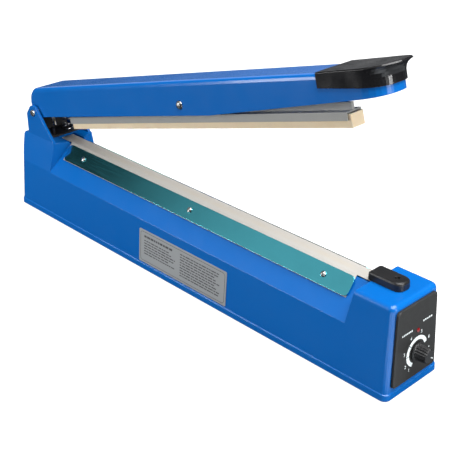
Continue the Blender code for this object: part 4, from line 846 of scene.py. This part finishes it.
def make_bench_finish():
    made = Finish("pale_bench", (0.34, 0.34, 0.34), 0.8)
    set_value(made, Specular_IOR_Level=0.0)
    made.bump(made.noise(40, 3), 0.00005)
    made.tint(made.span(made.noise(3, 3), 0.4, 0.6, 0.0, 0.3), (0.32, 0.32, 0.33))
    path = made.node("ShaderNodeLightPath")
    glow = made.node("ShaderNodeEmission")
    glow.inputs["Color"].default_value = (1, 1, 1, 1)
    made.link(made.sum(path.outputs["Is Camera Ray"], BENCH_GLOW, "MULTIPLY"), glow.inputs["Strength"])
    lit = made.node("ShaderNodeAddShader")
    made.link(made.shader.outputs[0], lit.inputs[0])
    made.link(glow.outputs[0], lit.inputs[1])
    split = made.node("ShaderNodeSeparateXYZ")
    made.link(made.place, split.inputs[0])
    dim = made.node("ShaderNodeBsdfDiffuse")
    blend = made.node("ShaderNodeMix", data_type="RGBA")
    blend.inputs["A"].default_value = (*BENCH_MIRRORED, 1)
    blend.inputs["B"].default_value = (*CARD_MIRRORED, 1)
    rightward = made.span(split.outputs["X"], *(base_high.x + reach for reach in CARD_START))
    close = made.span(split.outputs["Y"], *(base_low.y - reach for reach in CARD_DEPTH))
    near = made.span(split.outputs["Y"], *CARD_BACK, 1.0, CARD_BACK_SHARE)
    made.link(made.sum(made.sum(rightward, close, "MULTIPLY"), near, "MULTIPLY"), blend.inputs["Factor"])
    made.link(blend.outputs["Result"], dim.inputs["Color"])
    seen = made.node("ShaderNodeMixShader")
    made.link(path.outputs["Is Glossy Ray"], seen.inputs["Fac"])
    made.link(lit.outputs[0], seen.inputs[1])
    made.link(dim.outputs[0], seen.inputs[2])
    made.link(seen.outputs[0], made.tree.nodes["Material Output"].inputs["Surface"])
    return made.made


bench_mesh = bpy.data.meshes.new("bench")
corners = [(x * BENCH_REACH, y * BENCH_REACH, 0) for x, y in ((-1, -1), (1, -1), (1, 1), (-1, 1))]
bench_mesh.from_pydata(corners, [], [(0, 1, 2, 3)])
bench = bpy.data.objects.new("bench", bench_mesh)
bpy.context.scene.collection.objects.link(bench)
bench_mesh.materials.append(make_bench_finish())
print("bench laid,", 2 * BENCH_REACH, "m across")

# %% [markdown]
# ## The light
# One broad soft light hangs above. A smaller one stands low on the left, and lights the long near side. A
# tall narrow one stands on the right, and draws the highlight down the round nose of the grip. The room
# around is even for the fill, but its reflection has a bright side and a dark side, which gives bright
# metal its gradient.


# %% Hanging the lights
def add_light(name, place, target, size, power):
    """A rectangular soft light that faces a target."""
    lamp = bpy.data.lights.new(name, "AREA")
    lamp.shape = "RECTANGLE"
    lamp.size, lamp.size_y = size
    lamp.energy = power
    made = bpy.data.objects.new(name, lamp)
    bpy.context.scene.collection.objects.link(made)
    made.location = place
    aim = (Vector(target) - Vector(place)).normalized()
    made.rotation_euler = aim.to_track_quat("-Z", "Y").to_euler()
    return made


add_light("overhead", (0.60, 0.05, 1.8), (0.1, 0, 0), (2.0, 1.5), 76)
add_light("left", (-0.62, -0.88, 0.24), (-0.20, 0, 0.08), (0.5, 0.42), 5.5)
add_light("right", (1.50, 0.20, 0.42), (0.25, 0, 0.16), (0.16, 0.70), 12)
bpy.context.scene.view_settings.view_transform = "Standard"

# %% Making the room
ROOM_FILL = 0.20
# Where reflections find light: direction, how wide the edge is as two cosines, and how strong.
ROOM_GLOWS = (((-0.30, -0.78, 0.55), 0.85, 0.95, 0.42), ((-0.78, 0.62, 0.06), 0.88, 0.99, 0.60))
ROOM_DIM = 0.030  # what reflections find elsewhere
ROOM_BEHIND = 1.2  # what the lens sees behind the bench


def make_room():
    world = bpy.data.worlds.new("studio")
    bpy.context.scene.world = world
    world.use_nodes = True
    tree = world.node_tree
    background = tree.nodes["Background"]
    background.inputs["Color"].default_value = (0.95, 0.97, 1.0, 1)
    path = tree.nodes.new("ShaderNodeLightPath")
    place = tree.nodes.new("ShaderNodeTexCoord")
    total = None
    for direction, low, high, strength in ROOM_GLOWS:
        dot = tree.nodes.new("ShaderNodeVectorMath")
        dot.operation = "DOT_PRODUCT"
        tree.links.new(place.outputs["Generated"], dot.inputs[0])
        dot.inputs[1].default_value = Vector(direction).normalized()
        glow = tree.nodes.new("ShaderNodeMapRange")
        glow.interpolation_type = "SMOOTHSTEP"
        for socket, number in (("From Min", low), ("From Max", high), ("To Min", 0.0), ("To Max", strength)):
            glow.inputs[socket].default_value = number
        tree.links.new(dot.outputs["Value"], glow.inputs["Value"])
        both = tree.nodes.new("ShaderNodeMath")
        both.inputs[0].default_value = ROOM_DIM
        if total is not None:
            tree.links.new(total, both.inputs[0])
        tree.links.new(glow.outputs["Result"], both.inputs[1])
        total = both.outputs[0]
    seen = tree.nodes.new("ShaderNodeMix")
    tree.links.new(path.outputs["Is Glossy Ray"], seen.inputs["Factor"])
    seen.inputs["A"].default_value = ROOM_FILL
    tree.links.new(total, seen.inputs["B"])
    behind = tree.nodes.new("ShaderNodeMix")
    tree.links.new(path.outputs["Is Camera Ray"], behind.inputs["Factor"])
    tree.links.new(seen.outputs["Result"], behind.inputs["A"])
    behind.inputs["B"].default_value = ROOM_BEHIND
    tree.links.new(behind.outputs["Result"], background.inputs["Strength"])
    return world


make_room()
print("room fill", ROOM_FILL, "and", len(ROOM_GLOWS), "glows")

# %% [markdown]
# ## The camera
# A long lens from a metre away, to the right of the machine and a little above it.

# %% Placing the camera
AZIMUTH, ELEVATION, ROLL = math.radians(45.83), math.radians(27.53), math.radians(0.07)
CAMERA_DISTANCE = 0.9471
target = Vector((base_middle + 0.0447, 0, 0.0678))
back = Vector((
    math.sin(AZIMUTH) * math.cos(ELEVATION), -math.cos(AZIMUTH) * math.cos(ELEVATION), math.sin(ELEVATION)
))
lens = bpy.data.cameras.new("camera")
lens.sensor_width = 36
lens.lens = 76.35
lens.clip_start = 0.01
camera = bpy.data.objects.new("camera", lens)
bpy.context.scene.collection.objects.link(camera)
turn = back.to_track_quat("Z", "Y").to_matrix().to_4x4()
camera_place = Matrix.Translation(target + CAMERA_DISTANCE * back)
camera.matrix_world = camera_place @ turn @ Matrix.Rotation(ROLL, 4, "Z")
bpy.context.scene.camera = camera
print("camera at", [round(v, 3) for v in camera.matrix_world.translation])
